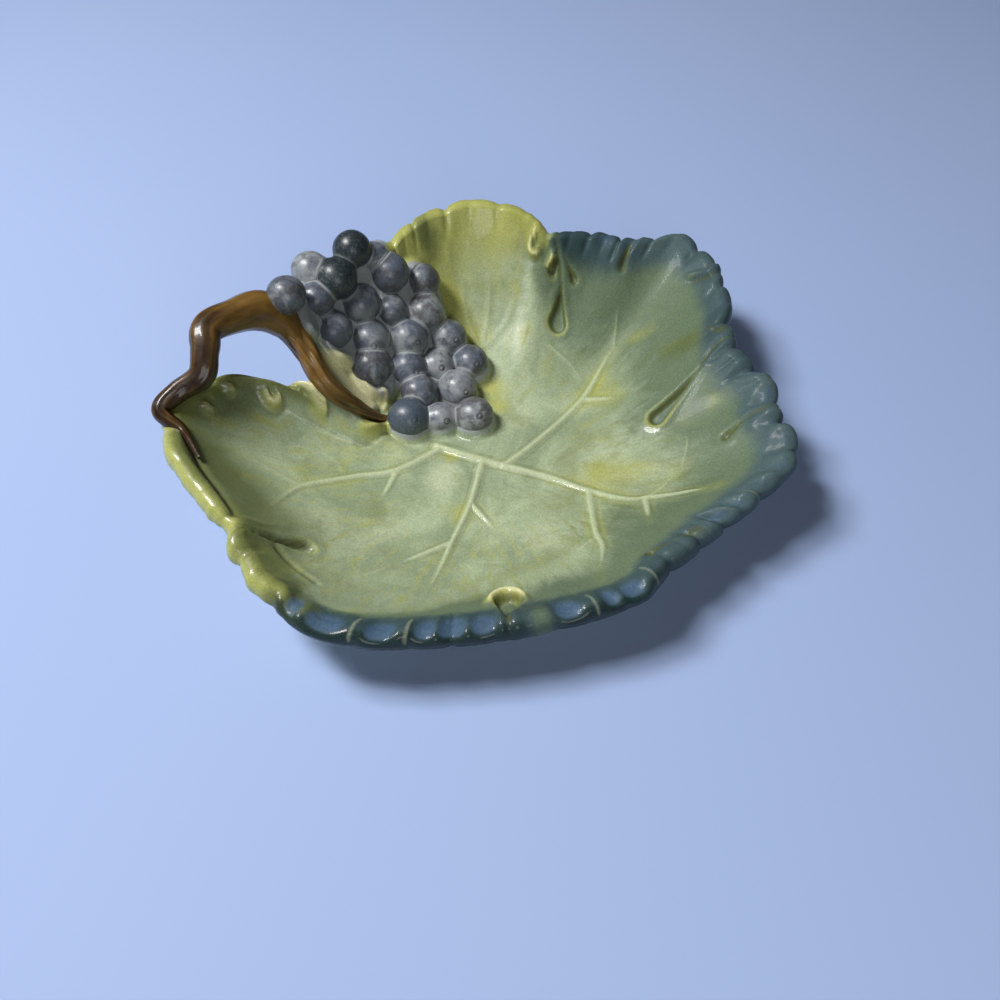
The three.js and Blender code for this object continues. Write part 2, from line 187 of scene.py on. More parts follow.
# Twig handle and leaf stalk: x, y, z and radius along the middle, in places thinner than the solids
HANDLE = [
    (-98, -18, 40, 2.2), (-105, -13, 43.8, 3.1), (-100, -6.6, 46.2, 3.9), (-92.2, -2, 49.8, 4.3),
    (-90.4, 4, 55.8, 5.3), (-90.3, 11.4, 58.9, 5.6), (-83, 18.1, 58.6, 6.1), (-74.8, 24, 56.5, 7.2),
    (-67.4, 24.7, 50.5, 5.9), (-62.9, 22.4, 45.2, 4.3),
]
STALK = [
    (-67.4, 24.7, 50.5, 4.7), (-62.9, 22.4, 45.2, 4.6), (-59.2, 18.3, 41.5, 4.3), (-55.1, 12, 37.1, 4.1),
    (-50.9, 9.5, 32.1, 3.8), (-46, 9.1, 27.1, 3.3), (-41.1, 10.1, 21.5, 2.6), (-36, 13, 15.0, 1.7),
    (-32.6, 14.7, 12.8, 1.1),
]

# Thin root of the handle on the leaf: x, y and radius
ROOT = [(-89.5, -31, 0.7), (-94, -23.5, 1.3)]
# Knots of the handle: place, swelling and width
KNOTS = [((-92.8, -1.2, 50), 0.9, 4.0), ((-90, 3.5, 55), -0.5, 3.0), ((-70, 19, 58), 0.6, 7.0)]

# Grapes: x, y, radius and how far the middle stands off the leaf as a share of the radius
GRAPES = [
    (-44.9, 55.1, 7.1, 1.42), (-50.3, 44.8, 7.9, 1.64), (-59.8, 47.1, 7, 0.61), (-65.4, 27.9, 7.1, 1.6),
    (-57.4, 38, 7, 0.97), (-32.4, 56.9, 7.8, 0.93), (-20.6, 62.3, 7, 0.86), (-42.8, 45.6, 7.6, 0.87),
    (-31.9, 48.9, 6.2, 0.81), (-19.5, 53.1, 8.2, 0.76), (-52, 33.4, 7.3, 0.86), (-39.4, 37.7, 7.6, 0.75),
    (-25.7, 42.7, 7.7, 0.7), (-10.9, 49.4, 7.5, 0.63), (-39, 29.6, 7.9, 0.66), (-25.6, 33.8, 7, 0.62),
    (-15.1, 38.5, 6.5, 0.6), (-2.3, 41.8, 7.2, 0.55), (-21.4, 25.9, 7, 0.55), (-6.9, 29.7, 7.5, 0.52),
    (-24.8, 13.4, 8, 0.52), (-13, 15, 6.3, 0.52), (-0.4, 15.6, 7.5, 0.52), (-38.1, 59.4, 6.4, 0.55),
]
DARK_GRAPES = (1, 2, 21)
LIGHTEST_DARK_GRAPE = 21
PALE_GRAPES = (3, 10, 17, 20, 22, 23)
DEEP_GRAPES = (5, 6, 11, 16, 18)
MARKED_GRAPES = (12, 13, 14, 16, 17, 18, 20, 21, 22, 23)

# Width of the coloured bands inside the rim: bearing from the hub in degrees, width in millimetres.
# Fern lies between the slate of the rim and the main glaze
SLATE_BAND = [
    (-180, 0), (-133, 0), (-127, 8), (-112, 9), (-75, 9), (-55, 8), (-40, 9), (-25, 13), (-10, 16),
    (10, 16), (25, 14), (40, 14), (52, 18), (60, 21), (65, 17), (69, 10), (73, 0), (180, 0),
]
FERN_BAND = [
    (-180, 0), (-127, 0), (-110, 14), (-75, 22), (-55, 28), (-40, 38), (-25, 52), (10, 62), (25, 70),
    (40, 86), (52, 92), (60, 80), (66, 56), (71, 32), (78, 8), (84, 0), (180, 0),
]
GOLD_BAND = [
    (-180, 8), (-150, 8), (-135, 10), (-126, 5), (-115, 0), (70, 0), (78, 16), (86, 34), (110, 40),
    (125, 26), (150, 8), (180, 8),
]
# Dark green glaze on the left wall, darkened further as painted shade under the rolled left edge
MOSS_AND_SHADE_BAND = [
    (-180, 28), (-168, 40), (-150, 42), (-140, 32), (-130, 18), (-116, 0), (150, 0), (165, 18), (180, 26),
]
# Clouds of glaze in each mask: x, y, radius and strength
STAINS = {
    "moss_and_shade": [
        (79, 40, 8, 0.95), (28, 78, 7, 0.65), (-19, 77, 6, 0.85), (-1, 80, 8, 0.4), (18, 80, 6, 0.35),
        (8, 74, 7, 0.2), (-80, -40, 14, 0.6), (35, 66, 6, 0.5), (60, 40, 9, 0.35),
    ],
    "gold": [
        (77, 43, 6, 0.5), (63, 56, 9, 0.15), (52, 40, 8, 0.2), (-10, 64, 6, 0.8), (-4, 54, 6, 0.7),
        (6, 34, 7, 0.75), (9, 24, 5, 0.6), (-9, -2, 4, 0.6), (48, 31, 9, 0.55), (45, -10, 8, 0.6),
        (60, -10, 8, 0.5), (86, 9, 7, 0.6), (-7, -28, 6, 0.45), (-45, -22, 9, 0.45), (-30, 2, 7, 0.4),
    ],
    "pale": [
        (-12, -11, 9, 0.9), (17, 18, 8, 0.7), (23, -42, 12, 0.6), (17, 54, 7, 0.8),
        (-34, -40, 12, 0.6), (46, 2, 8, 0.35), (-55, -38, 8, 0.5),
    ],
    "slate": [
        (83, 10, 5, 0.3), (68, 12, 4, 0.35), (30, -70, 14, 0.2),
    ],
    "fern": [
        (-2, -79, 14, 0.35), (30, -72, 15, 0.3), (42, -34, 18, 0.2), (-34, -78, 12, 0.25),
    ],
}

# Thumb-pressed pads of the rolled edge: place in plan, half length and depth as a share
PADS = [
    # near lobe
    ((-56, -88.5), 4.2, 0.8), ((-45.5, -93.3), 8.6, 1), ((-28.3, -95.5), 6.8, 1), ((-14, -94.9), 4.8, 0.85),
    ((-5.6, -94.2), 6.4, 1), ((4.5, -93.1), 6, 0.75), ((32, -87.3), 6, 0.95),
    ((45.8, -82.7), 4, 0.9), ((53.3, -79.4), 6, 1),
    # right lobe
    ((85.3, -49.1), 5.4, 0.9), ((92, -43.5), 4.6, 0.75), ((101, -36), 4.6, 0.55), ((108.3, -28.9), 5.4, 0.6),
    ((113, -17), 5, 0.5), ((110.8, -8), 3.6, 0.45), ((108.8, 3.7), 5, 0.6), ((104.6, 16), 5, 0.5),
    # far right lobe
    ((98.1, 53.6), 6, 0.4), ((89.6, 87.6), 8, 0.45), ((64.5, 89.1), 3.6, 0.6), ((54.5, 90.6), 5, 0.45),
]
PAD_MIDDLE = 2.3
PAD_HALF = 6.4
PAD_OVAL = 2.4  # power of the oval, 2 for an ellipse
# Stretch of the near edge without pads, where the glaze is lighter: place in plan and half length
BARE_STRETCH = ((23, -89.6), 5)
# Thin pale ridges across the rolled edge, between the pads
RIDGES = [(-36.6, -95.2), (-19.6, -95.2), (40.4, -85), (59.5, -73.5), (97, -39.5)]
# Strength of the loose ripples of the rolled edge, by bearing
RIPPLES = [
    (-180, 0.6), (-158, 0.7), (-148, 1.7), (-136, 1.5), (-130, 0.4), (-120, 0), (60, 0), (78, 1),
    (112, 1), (122, 0), (165, 0), (180, 0.5),
]
# Share of pale blue in the slate band, by bearing: paler slate glaze, and from 46 to 52 degrees a painted
# sheen on the pad at the far right corner of the rim
MIST_AND_SHEEN_BAND = [
    (-180, 0), (-130, 0.1), (-60, 0.15), (-40, 0.5), (-20, 0.9), (10, 0.8), (30, 0.5), (46, 0.9),
    (52, 0.9), (58, 0.3), (63, 0.1), (180, 0),
]

# How finely the skins are divided
LEAF_LINES = 640
WALL_ROWS = 124
LIP_ROWS = 20
UNDER_ROWS = 8
TWIG_ROWS = 180
TWIG_SIDES = 72
GRAPE_ROWS = 40
GRAPE_SIDES = 56
FOOT_SIDES = 160
DOME_ROWS = 6

# Relief of the leaf that has no setting, in millimetres
VEIN_WIDTH = 0.9  # times the vein's radius
FAINT_VEIN = 0.45  # strength of the fine veins
TROUGH_WIDTH = 5.0
TROUGH_DEPTH = 0.4
TEAR_BORDER = 0.5
CREASE_SWELL = 0.4
LEDGE_CREASE_DEPTH = 1.4
LEDGE_HEIGHT = 2.2
KNUCKLE_HEIGHT = 0.8
GROOVE_WIDTH = 1.2
BEAD_HEIGHT = 0.2
RIDGE_HEIGHT = 0.35
RIDGE_WIDTH = 0.8
RIPPLE_HEIGHT = 0.25
OUTSIDE_TRIM = 0.4
SWELL_HEIGHT = 0.3
# Bands narrower than this grow faint: inside the rim and on the rolled edge
FAINT_INSIDE = 4.0
FAINT_EDGE = 8.0

# Relief of the grapes, in millimetres
BALL_SHARE = 0.985  # of the solid's radius
DENT_SHARE = 0.015
MARK_RADIUS = 1.0
MARK_DEPTH = 0.16
MARK_DOT = 0.1
TOUCH_GAP = 0.4
FACE_GAP = 0.1
FACE_SOFT = 0.35
WEB_HEIGHT = 0.55
# Height of the dome that ends a twig, as a share of its radius
DOME_SHARE = 0.5
# Top of the foot ring: how far below the inside it ends, as a share of the wall, and its taper
FOOT_SINK = 0.6
FOOT_TAPER = 0.5

# Stage: half side of the floor, and side and place of each lamp, in metres
FLOOR_HALF = 3.0
LAMPS = {
    "key": (0.3, (-0.64, 0.06, 1.0)),
    "shine": (0.17, (-0.47, -0.13, 1.0)),
    "fill": (0.4, (0.15, -0.9, 0.5)),
    "top": (1.3, (0.25, 0.3, 1.35)),
}
SKY_COLOUR = (0.93, 0.96, 1.0, 1.0)
# Camera: place in millimetres, tilt in degrees, sensor and lens in millimetres
CAMERA_PLACE = (9.364, -278.246, 304.055)
CAMERA_TILT = 40.9
CAMERA_SENSOR = 36.0
CAMERA_LENS = 39.6


class LeafBowlShape(bpy.types.PropertyGroup):
    """Sizes of the relief that the solids leave out."""

    vein_height: bpy.props.FloatProperty(
        name="Vein height", description="Height of a vein above the leaf, as a share of its radius",
        default=0.8, min=0.0, max=1.5)
    tear_depth: bpy.props.FloatProperty(
        name="Hollow depth", description="Depth of the tear-shaped hollows",
        default=2.0 * MM, min=0.0, max=3.5 * MM, unit="LENGTH")
    curl_height: bpy.props.FloatProperty(
        name="Curl height", description="Height of the small curls, as a share of what the table gives",
        default=1.3, min=0.0, max=2.0)
    pad_depth: bpy.props.FloatProperty(
        name="Pad depth", description="Depth of the pads pressed into the rim",
        default=2.2 * MM, min=0.0, max=2.5 * MM, unit="LENGTH")
    crease_depth: bpy.props.FloatProperty(
        name="Crease depth", description="Depth of the creases beside the hollows",
        default=1.1 * MM, min=0.0, max=3.0 * MM, unit="LENGTH")
    groove_depth: bpy.props.FloatProperty(
        name="Groove depth", description="Depth of the grooves between the scallops",
        default=1.0 * MM, min=0.0, max=3.0 * MM, unit="LENGTH")
    ground_height: bpy.props.FloatProperty(
        name="Bunch ground", description="Height of the clay that fills the gaps between the grapes",
        default=5.0 * MM, min=0.0, max=6.0 * MM, unit="LENGTH")
    bark_depth: bpy.props.FloatProperty(
        name="Bark depth", description="Depth of the grooves along the twigs",
        default=0.28 * MM, min=0.0, max=1.5 * MM, unit="LENGTH")


class LeafBowlColours(bpy.types.PropertyGroup):
    """Glaze colours."""

    sage: bpy.props.FloatVectorProperty(
        name="Sage", description="Main glaze of the leaf", subtype="COLOR", default=(0.425, 0.50, 0.315))
    grey_sage: bpy.props.FloatVectorProperty(
        name="Grey sage", description="Darker clouds in the main glaze", subtype="COLOR",
        default=(0.27, 0.33, 0.20))
    # Milk: pale glaze clouds, and the painted highlight in the middle of the tears
    milk: bpy.props.FloatVectorProperty(
        name="Milk", description="Pale clouds in the main glaze", subtype="COLOR",
        default=(0.53, 0.585, 0.385))
    yellow_green: bpy.props.FloatVectorProperty(
        name="Yellow-green", description="Glaze of the left edge and the top lobe", subtype="COLOR",
        default=(0.42, 0.43, 0.10))
    # Moss: dark green glaze clouds, and on the left wall painted shade under the rolled edge
    moss_and_shade: bpy.props.FloatVectorProperty(
        name="Moss", description="Dark green clouds of the left wall and the top lobe", subtype="COLOR",
        default=(0.115, 0.14, 0.045))
    fern: bpy.props.FloatVectorProperty(
        name="Fern", description="Grey-green between the sage and the slate", subtype="COLOR",
        default=(0.105, 0.152, 0.095))
    slate: bpy.props.FloatVectorProperty(
        name="Slate blue", description="Glaze of the near and right-hand rim", subtype="COLOR",
        default=(0.030, 0.060, 0.072))
    # Mist blue: paler slate glaze, and the painted sheen on the far right corner of the rim
    mist_and_sheen: bpy.props.FloatVectorProperty(
        name="Mist blue", description="Lighter clouds in the slate glaze", subtype="COLOR",
        default=(0.082, 0.128, 0.142))
    denim: bpy.props.FloatVectorProperty(
        name="Denim blue", description="Glaze pooled in the hollows of the rim", subtype="COLOR",
        default=(0.068, 0.12, 0.195))
    # Dark border: dark green glaze round the pads, and painted shade on the lower outer face of the rolled
    # near rim
    shade: bpy.props.FloatVectorProperty(
        name="Dark border", description="Dark green round the pads of the near rim", subtype="COLOR",
        default=(0.014, 0.030, 0.026))
    wash: bpy.props.FloatVectorProperty(
        name="Olive wash", description="Thin olive clouds over the main glaze", subtype="COLOR",
        default=(0.235, 0.27, 0.11))
    # Olive: glaze pooled in hollows, creases and grooves, and painted shade in the thin lines beside the
    # veins
    olive: bpy.props.FloatVectorProperty(
        name="Olive", description="Glaze pooled in hollows and creases", subtype="COLOR",
        default=(0.095, 0.10, 0.015))
    vein: bpy.props.FloatVectorProperty(
        name="Vein", description="Thin glaze on the veins", subtype="COLOR", default=(0.47, 0.53, 0.32))
    # Cream: pale glaze, set lighter than it is as painted light, so that the ledge beside the stalk and the
    # curls in shade look lit
    cream: bpy.props.FloatVectorProperty(
        name="Cream", description="Patch beside the stalk, curls and underside", subtype="COLOR",
        default=(0.80, 0.77, 0.45))
    lilac: bpy.props.FloatVectorProperty(
        name="Lilac grey", description="Glaze between the grapes", subtype="COLOR",
        default=(0.34, 0.36, 0.37))
    grape: bpy.props.FloatVectorProperty(
        name="Grape", description="Main glaze of the grapes", subtype="COLOR", default=(0.088, 0.105, 0.14))
    grape_warm: bpy.props.FloatVectorProperty(
        name="Brown bloom", description="Brown clouds on the grapes", subtype="COLOR",
        default=(0.055, 0.048, 0.048))
    dark_grape: bpy.props.FloatVectorProperty(
        name="Dark grape", description="Glaze of the blue-black grapes", subtype="COLOR",
        default=(0.016, 0.026, 0.031))
    honey: bpy.props.FloatVectorProperty(
        name="Honey brown", description="Light streaks of the twigs", subtype="COLOR",
        default=(0.185, 0.10, 0.020))
    bark: bpy.props.FloatVectorProperty(
        name="Bark brown", description="Dark streaks of the twigs", subtype="COLOR",
        default=(0.022, 0.009, 0.003))
    slate_grape: bpy.props.FloatVectorProperty(
        name="Slate grape", description="Glaze of the lightest dark grape", subtype="COLOR",
        default=(0.06, 0.082, 0.11))
    dark_bloom: bpy.props.FloatVectorProperty(
        name="Dark bloom", description="Clouds on the dark grapes", subtype="COLOR",
        default=(0.05, 0.062, 0.066))
    blossom: bpy.props.FloatVectorProperty(
        name="Blossom mark", description="Marks at the ends of the grapes", subtype="COLOR",
        default=(0.03, 0.028, 0.028))
    bloom: bpy.props.FloatVectorProperty(
        name="Bloom", description="Pale specks on the grapes", subtype="COLOR", default=(0.4, 0.42, 0.45))


class LeafBowlStage(bpy.types.PropertyGroup):
    """Floor and light."""

    floor: bpy.props.FloatVectorProperty(
        name="Floor", description="Colour of the plain floor", subtype="COLOR", default=(0.35, 0.45, 0.71))
    floor_cloud: bpy.props.FloatVectorProperty(
        name="Floor clouds", description="Faint pale clouds on the floor", subtype="COLOR",
        default=(0.6, 0.66, 0.78))
    key: bpy.props.FloatProperty(
        name="Key light", description="Power of the soft light above on the left", default=11.0, min=0.0,
        unit="POWER")
    fill: bpy.props.FloatProperty(
        name="Fill light", description="Power of the low light from the near side", default=2.0, min=0.0,
        unit="POWER")
    shine: bpy.props.FloatProperty(
        name="Shine light", description="Power of the small light that gives the shine of the far wall",
        default=4.4, min=0.0, unit="POWER")
    top: bpy.props.FloatProperty(
        name="Top light", description="Power of the large light overhead", default=0.3, min=0.0,
        unit="POWER")
    sky: bpy.props.FloatProperty(
        name="Sky", description="Strength of the light from all round", default=0.04, min=0.0)


class LeafBowlSettings(bpy.types.PropertyGroup):
    """All settings of the bowl."""

    shape: bpy.props.PointerProperty(type=LeafBowlShape)
    colours: bpy.props.PointerProperty(type=LeafBowlColours)
    stage: bpy.props.PointerProperty(type=LeafBowlStage)


# Curves and distances

def smooth(low, high, value):
    """Rises from 0 at low to 1 at high with level ends; falls when low is above high."""
    share = np.clip((value - low) / (high - low), 0.0, 1.0)
    return share * share * (3.0 - 2.0 * share)


def bell(value, width):
    """A rounded bump: 1 at 0, falling to about a third at the width."""
    return np.exp(-(value / width) ** 2)


def through(points, closed=False, fine=24):
    """Fine points on the even Catmull-Rom curve through the given points."""
    points = np.asarray(points, float)
    if not closed:
        points = np.vstack([2 * points[0] - points[1], points, 2 * points[-1] - points[-2]])
    spans = len(points) if closed else len(points) - 3
    place = np.linspace(0, spans, spans * fine + 1)
    span = np.minimum(place.astype(int), spans - 1)
    t = (place - span)[:, None]
    shift = -1 if closed else 0
    p0, p1, p2, p3 = (points[(span + step + shift) % len(points)] for step in range(4))
    return 0.5 * (2 * p1 + (p2 - p0) * t + (2 * p0 - 5 * p1 + 4 * p2 - p3) * t ** 2
                  + (3 * p1 - p0 - 3 * p2 + p3) * t ** 3)


def at_shares(curve, shares, measure=3):
    """Points of a fine curve at shares of its length, the length taken over the first columns."""
    steps = np.linalg.norm(np.diff(curve[:, :measure], axis=0), axis=1)
    length = np.concatenate([[0.0], np.cumsum(steps)])
    return np.stack([np.interp(shares * length[-1], length, column) for column in curve.T], axis=1)


def path_distance(plan, path):
    """Distance in plan from each place to a broken line, and the share along it of the nearest point."""
    nearest = np.full(plan.shape[:-1], np.inf)
    share = np.zeros(plan.shape[:-1])
    steps = np.linalg.norm(np.diff(path, axis=0), axis=1)
    start = np.concatenate([[0.0], np.cumsum(steps)])
    for k, step in enumerate(steps):
        run = (path[k + 1] - path[k]) / step
        along = np.clip((plan - path[k]) @ run, 0.0, step)
        gap = np.linalg.norm(plan - path[k] - along[..., None] * run, axis=-1)
        nearer = gap < nearest
        nearest = np.where(nearer, gap, nearest)
        share = np.where(nearer, (start[k] + along) / start[-1], share)
    return nearest, share


def tear_distance(plan, bulb, point, radius):
    """Distance in plan outside a tear whose half-width shrinks from its round end to its point."""
    bulb, point = np.asarray(bulb, float), np.asarray(point, float)
    length = np.linalg.norm(point - bulb)
    run = (point - bulb) / length
    along = np.clip((plan - bulb) @ run, 0.0, length)
    gap = np.linalg.norm(plan - bulb - along[..., None] * run, axis=-1)
    return gap - radius * (1.0 - along / length) ** 1.2


# The leaf

class WallLines:
    """Wall lines of the leaf, from the hub out to the rim: one entry per line in each array."""

    def __init__(self, count):
        """Lines spread along the rim by length, with the scallops' notches straying by a slow wave."""
        turn = np.arange(count) / count
        stray = SCALLOP_WANDER / SCALLOPS * np.sin(2 * np.pi * WANDER_WAVES * turn)
        curve = through(RIM, closed=True, fine=60)
        edge = at_shares(curve, (turn + stray) % 1.0)
        self.edge = edge[:, :2]
        out = self.edge - HUB
        self.reach = np.linalg.norm(out, axis=1)
        self.out = out / self.reach[:, None]
        self.angle = np.arctan2(out[:, 1], out[:, 0])
        self.rise = edge[:, 2]
        phase = turn * SCALLOPS
        self.phase = phase
        self.bump = np.abs(np.sin(np.pi * phase)) ** 0.7
        self.depth = np.where(np.round(phase) % 2 == 0, 1.0, SHALLOW_NOTCH)
        perimeter = np.linalg.norm(np.diff(curve, axis=0), axis=1).sum()
        self.to_notch = np.abs(phase - np.round(phase)) * perimeter / SCALLOPS
        self.frill = self.band(FRILL)
        self.notch = (1.0 - self.bump) * self.depth * self.frill
        for place, depth, width in FOLDS:
            self.notch += depth * bell(self.away(place), width)
        self.knuckle = np.abs(np.sin(2 * np.pi * phase)) ** 0.8
        self.half_notch = bell(self.knuckle, 0.35)
        self.ripple = self.band(RIPPLES)
        place, half = BARE_STRETCH
        self.bare = bell(self.away(place), half)
        self.ridge = np.zeros(count)
        for place in RIDGES:
            self.ridge = np.maximum(self.ridge, bell(self.away(place), RIDGE_WIDTH))

    def away(self, place):
        """Distance in plan of each line's outer end from a place."""
        return np.linalg.norm(self.edge - place, axis=1)

    def pads(self, across):
        """Hollows of the pads, and the beads round them, at arc lengths past the inner side of the edge.

        A pad is an oval, deepest across its middle and level at its border, with a bell-shaped bead there.
        """
        hollow = np.zeros(across.shape)
        bead = np.zeros(across.shape)
        for place, half, depth in PADS:
            along = self.away(place) / half
            aside = np.abs(across - PAD_MIDDLE) / PAD_HALF
            away = (along ** PAD_OVAL + aside ** PAD_OVAL) ** (1 / PAD_OVAL)
            hollow = np.maximum(hollow, depth * smooth(1.0, 0.3, away))
            bead = np.maximum(bead, depth * bell(away - 1.1, 0.15))
        return hollow, bead * (1.0 - hollow)

    def band(self, table):
        """Value at each line, from a table of bearings and values."""
        bearing, value = np.array(table, float).T
        return np.interp(np.degrees(self.angle), bearing, value)


def wall_end(reach, rise, notch):
    """Radius and height where the inside of the wall runs into the rolled edge."""
    start = math.radians(LIP_START)
    radius = reach - SCALLOP_DEPTH * notch - LIP + LIP * math.cos(start)
    height = rise - SCALLOP_DROP * notch - LIP + LIP * math.sin(start)
    return radius, height


def wall_rise(radius, height, share):
    """Height of the inside at a share of the wall line, a power of the way past the flat, and its slope."""
    along = np.clip((share - FLAT_SHARE) / (1.0 - FLAT_SHARE), 0.0, None)
    rise = height - FLOOR
    slope = rise * WALL_CURVE * along ** (WALL_CURVE - 1.0) / ((1.0 - FLAT_SHARE) * radius)
    return FLOOR + rise * along ** WALL_CURVE, slope


def wall_points(lines, share, offset):
    """Places on the wall lines at shares of their way out, moved square to the inside face by the offset."""
    notch = lines.notch * smooth(SCALLOP_INSIDE, 1.0, share)
    end_radius, end_height = wall_end(lines.reach, lines.rise, notch)
    height, slope = wall_rise(end_radius, end_height, share)
    tilt = np.arctan(slope)
    radius = share * end_radius - offset * np.sin(tilt)
    plan = HUB + lines.out * radius[..., None]
    return np.concatenate([plan, (height + offset * np.cos(tilt))[..., None]], axis=-1)


def lip_points(lines, degrees, offset):
    """Places round the rolled edge: a circle about its middle, swelled by the offset."""
    angle = np.radians(degrees)
    radius = lines.reach - SCALLOP_DEPTH * lines.notch - LIP + (LIP + offset) * np.cos(angle)
    height = lines.rise - SCALLOP_DROP * lines.notch - LIP + (LIP + offset) * np.sin(angle)
    plan = HUB + lines.out * radius[..., None]
    return np.concatenate([plan, height[..., None]], axis=-1)


LINES = WallLines(LEAF_LINES)


def leaf_height(plan):
    """Height of the smooth inside at places in plan; past the wall it is the height of the edge."""
    out = plan - HUB
    angle = np.arctan2(out[..., 1], out[..., 0])
    order = np.argsort(LINES.angle)
    reach = np.interp(angle, LINES.angle[order], LINES.reach[order], period=2 * np.pi)
    rise = np.interp(angle, LINES.angle[order], LINES.rise[order], period=2 * np.pi)
    radius, height = wall_end(reach, rise, 0.0)
    inside, _ = wall_rise(radius, height, np.linalg.norm(out, axis=-1) / radius)
    return np.minimum(inside, rise)


def grape_middles():
    """Middles and radii of the grapes: each stands off the leaf by a share of its radius."""
    rows = np.array(GRAPES, float)
    height = leaf_height(rows[:, :2]) + rows[:, 3] * rows[:, 2]
    return np.column_stack([rows[:, :2], height]), rows[:, 2]


MASK_LAYERS = {
    "glaze_a": ("vein", "slate", "gold", "pool_and_shade"),
    "glaze_b": ("brown", "cream", "lilac", "under"),
    "glaze_c": ("moss_and_shade", "pale", "blue", "brush"),
    "glaze_d": ("mist_and_sheen", "shade", "ridge", "fern"),
}


class Relief:
    """Relief of the inside of the leaf in millimetres and the masks that colour it."""

    def __init__(self, plan, share):
        """Starts with a level surface: places in plan and shares of the wall lines."""
        self.plan = plan
        self.share = share
        self.inset = (1.0 - share) * LINES.reach
        self.height = np.zeros(share.shape)
        self.masks = {name: np.zeros(share.shape) for names in MASK_LAYERS.values() for name in names}

    def stain(self, name, amount):
        """Keeps the larger of a mask and a new amount."""
        self.masks[name] = np.maximum(self.masks[name], amount)

    def away(self, place):
        """Distance in plan from a place."""
        return np.linalg.norm(self.plan - place, axis=-1)

    def along(self, points):
        """Distance from a smooth line in plan and the share along it."""
        return path_distance(self.plan, through(points, fine=8))

    def veins(self, height):
        """Bell-shaped ridges that taper and fade to their tips, in wide shallow troughs, with a thin line of
        painted shade on each side.
        """
        ridge = np.zeros_like(self.height)
        near = np.zeros_like(self.height)
        for radius, points in VEINS + FINE_VEINS:
            gap, along = self.along(points)
            size = radius + (VEIN_TIP - radius) * along
            fade = 1.0 - 0.9 * smooth(0.5, 1.0, along)
            strength = 1.0 if radius >= 1.0 else FAINT_VEIN
            crest = strength * fade * bell(gap, VEIN_WIDTH * size)
            ridge = np.maximum(ridge, size * crest)
            near = np.maximum(near, strength * bell(gap, TROUGH_WIDTH))
            self.stain("vein", crest)
            # Painted shade: a thin dark olive line on each side of every vein
            self.stain("pool_and_shade", 0.4 * strength * fade * bell(gap - 1.8 * size, 0.6))
            self.stain("gold", 0.4 * strength * fade * bell(gap - 2.4, 1.6))
        self.height += height * ridge - TROUGH_DEPTH * near
        self.stain("gold", 0.3 * near)

    def hollows(self, tear_depth, crease_depth):
        """Tears sunk with a raised border, and creases as bell-shaped grooves in low swellings."""
        hollow = np.zeros_like(self.height)
        border = np.zeros_like(self.height)
        for bulb, point, radius in TEARS:
            gap = tear_distance(self.plan, bulb, point, radius)
            size = min(1.0, radius / 2.2)
            hollow = np.maximum(hollow, size * smooth(0.3, -1.3, gap))
            border = np.maximum(border, size * bell(gap - 1.3, 1.4))
            self.stain("pool_and_shade", 0.75 * bell(gap + 0.5, 0.8))
            round_end = bell(self.away(bulb), 2.4 * radius)
            self.stain("gold", 0.75 * round_end * bell(gap - 0.9, 0.9))
            # Painted highlight: pale milk in the middle of each tear's hollow
            self.stain("pale", 0.8 * smooth(-0.8, -2.0, gap))
        self.height += TEAR_BORDER * border * (1.0 - hollow) - tear_depth * hollow
        for points in CREASES:
            gap, along = self.along(points)
            ends = smooth(0.0, 0.15, along) * smooth(1.0, 0.85, along)
            self.height += ends * (CREASE_SWELL * bell(gap, 3.0) - crease_depth * bell(gap, 1.0))
            self.stain("pool_and_shade", 0.6 * ends * bell(gap, 1.0))
        gap, along = self.along(LEDGE_CREASE)
        ends = smooth(1.0, 0.9, along)
        self.height -= LEDGE_CREASE_DEPTH * bell(gap, 1.3) * ends
        self.stain("brown", 0.9 * bell(gap, 0.8) * ends * (1.0 - 0.5 * along))

    def curls(self, scale):
        """Bell-shaped ridges with an olive groove under them, and the low cream ledges beside the stalk."""
        for width, points in LEDGES:
            gap, along = self.along(points)
            ends = smooth(0.0, 0.1, along) * smooth(1.0, 0.9, along)
            self.height += LEDGE_HEIGHT * ends * smooth(1.4, 0.0, gap / width)
            # Cream ledge: pale glaze, its colour partly painted light
            self.stain("cream", ends * smooth(1.3, 0.5, gap / width))
        for height, width, cream, points in CURLS:
            gap, along = self.along(points)
            ends = smooth(0.0, 0.2, along) * smooth(1.0, 0.8, along)
            self.height += scale * ends * (height * bell(gap, width) - 0.5 * bell(gap - 2.2 * width, 0.8))
            self.stain("gold", ends * bell(gap, 2.0 * width))
            # Cream on the curls' crests: pale glaze, partly painted light on curls that lie in shade
            self.stain("cream", cream * ends * bell(gap, 0.8 * width))
            self.stain("pool_and_shade", 0.35 * ends * bell(gap - 2.2 * width, 0.8))

    def rim(self, groove_depth, pad_depth):
        """Knuckles between the grooves of the rim, the upper part of the pads and the ridges by them."""
        rounded = 0.5 * LINES.knuckle + 0.5 * LINES.bump - 0.6
        self.height += KNUCKLE_HEIGHT * LINES.frill * rounded * smooth(10.0, 1.0, self.inset)
        groove = (0.5 * LINES.half_notch + bell(LINES.to_notch, GROOVE_WIDTH) * LINES.depth) * LINES.frill
        self.height -= groove_depth * groove * smooth(7.0, 1.0, self.inset)
        self.stain("pool_and_shade", 0.2 * groove * smooth(6.0, 1.0, self.inset))
        hollow, bead = LINES.pads(-self.inset)
        self.height += BEAD_HEIGHT * bead - pad_depth * hollow
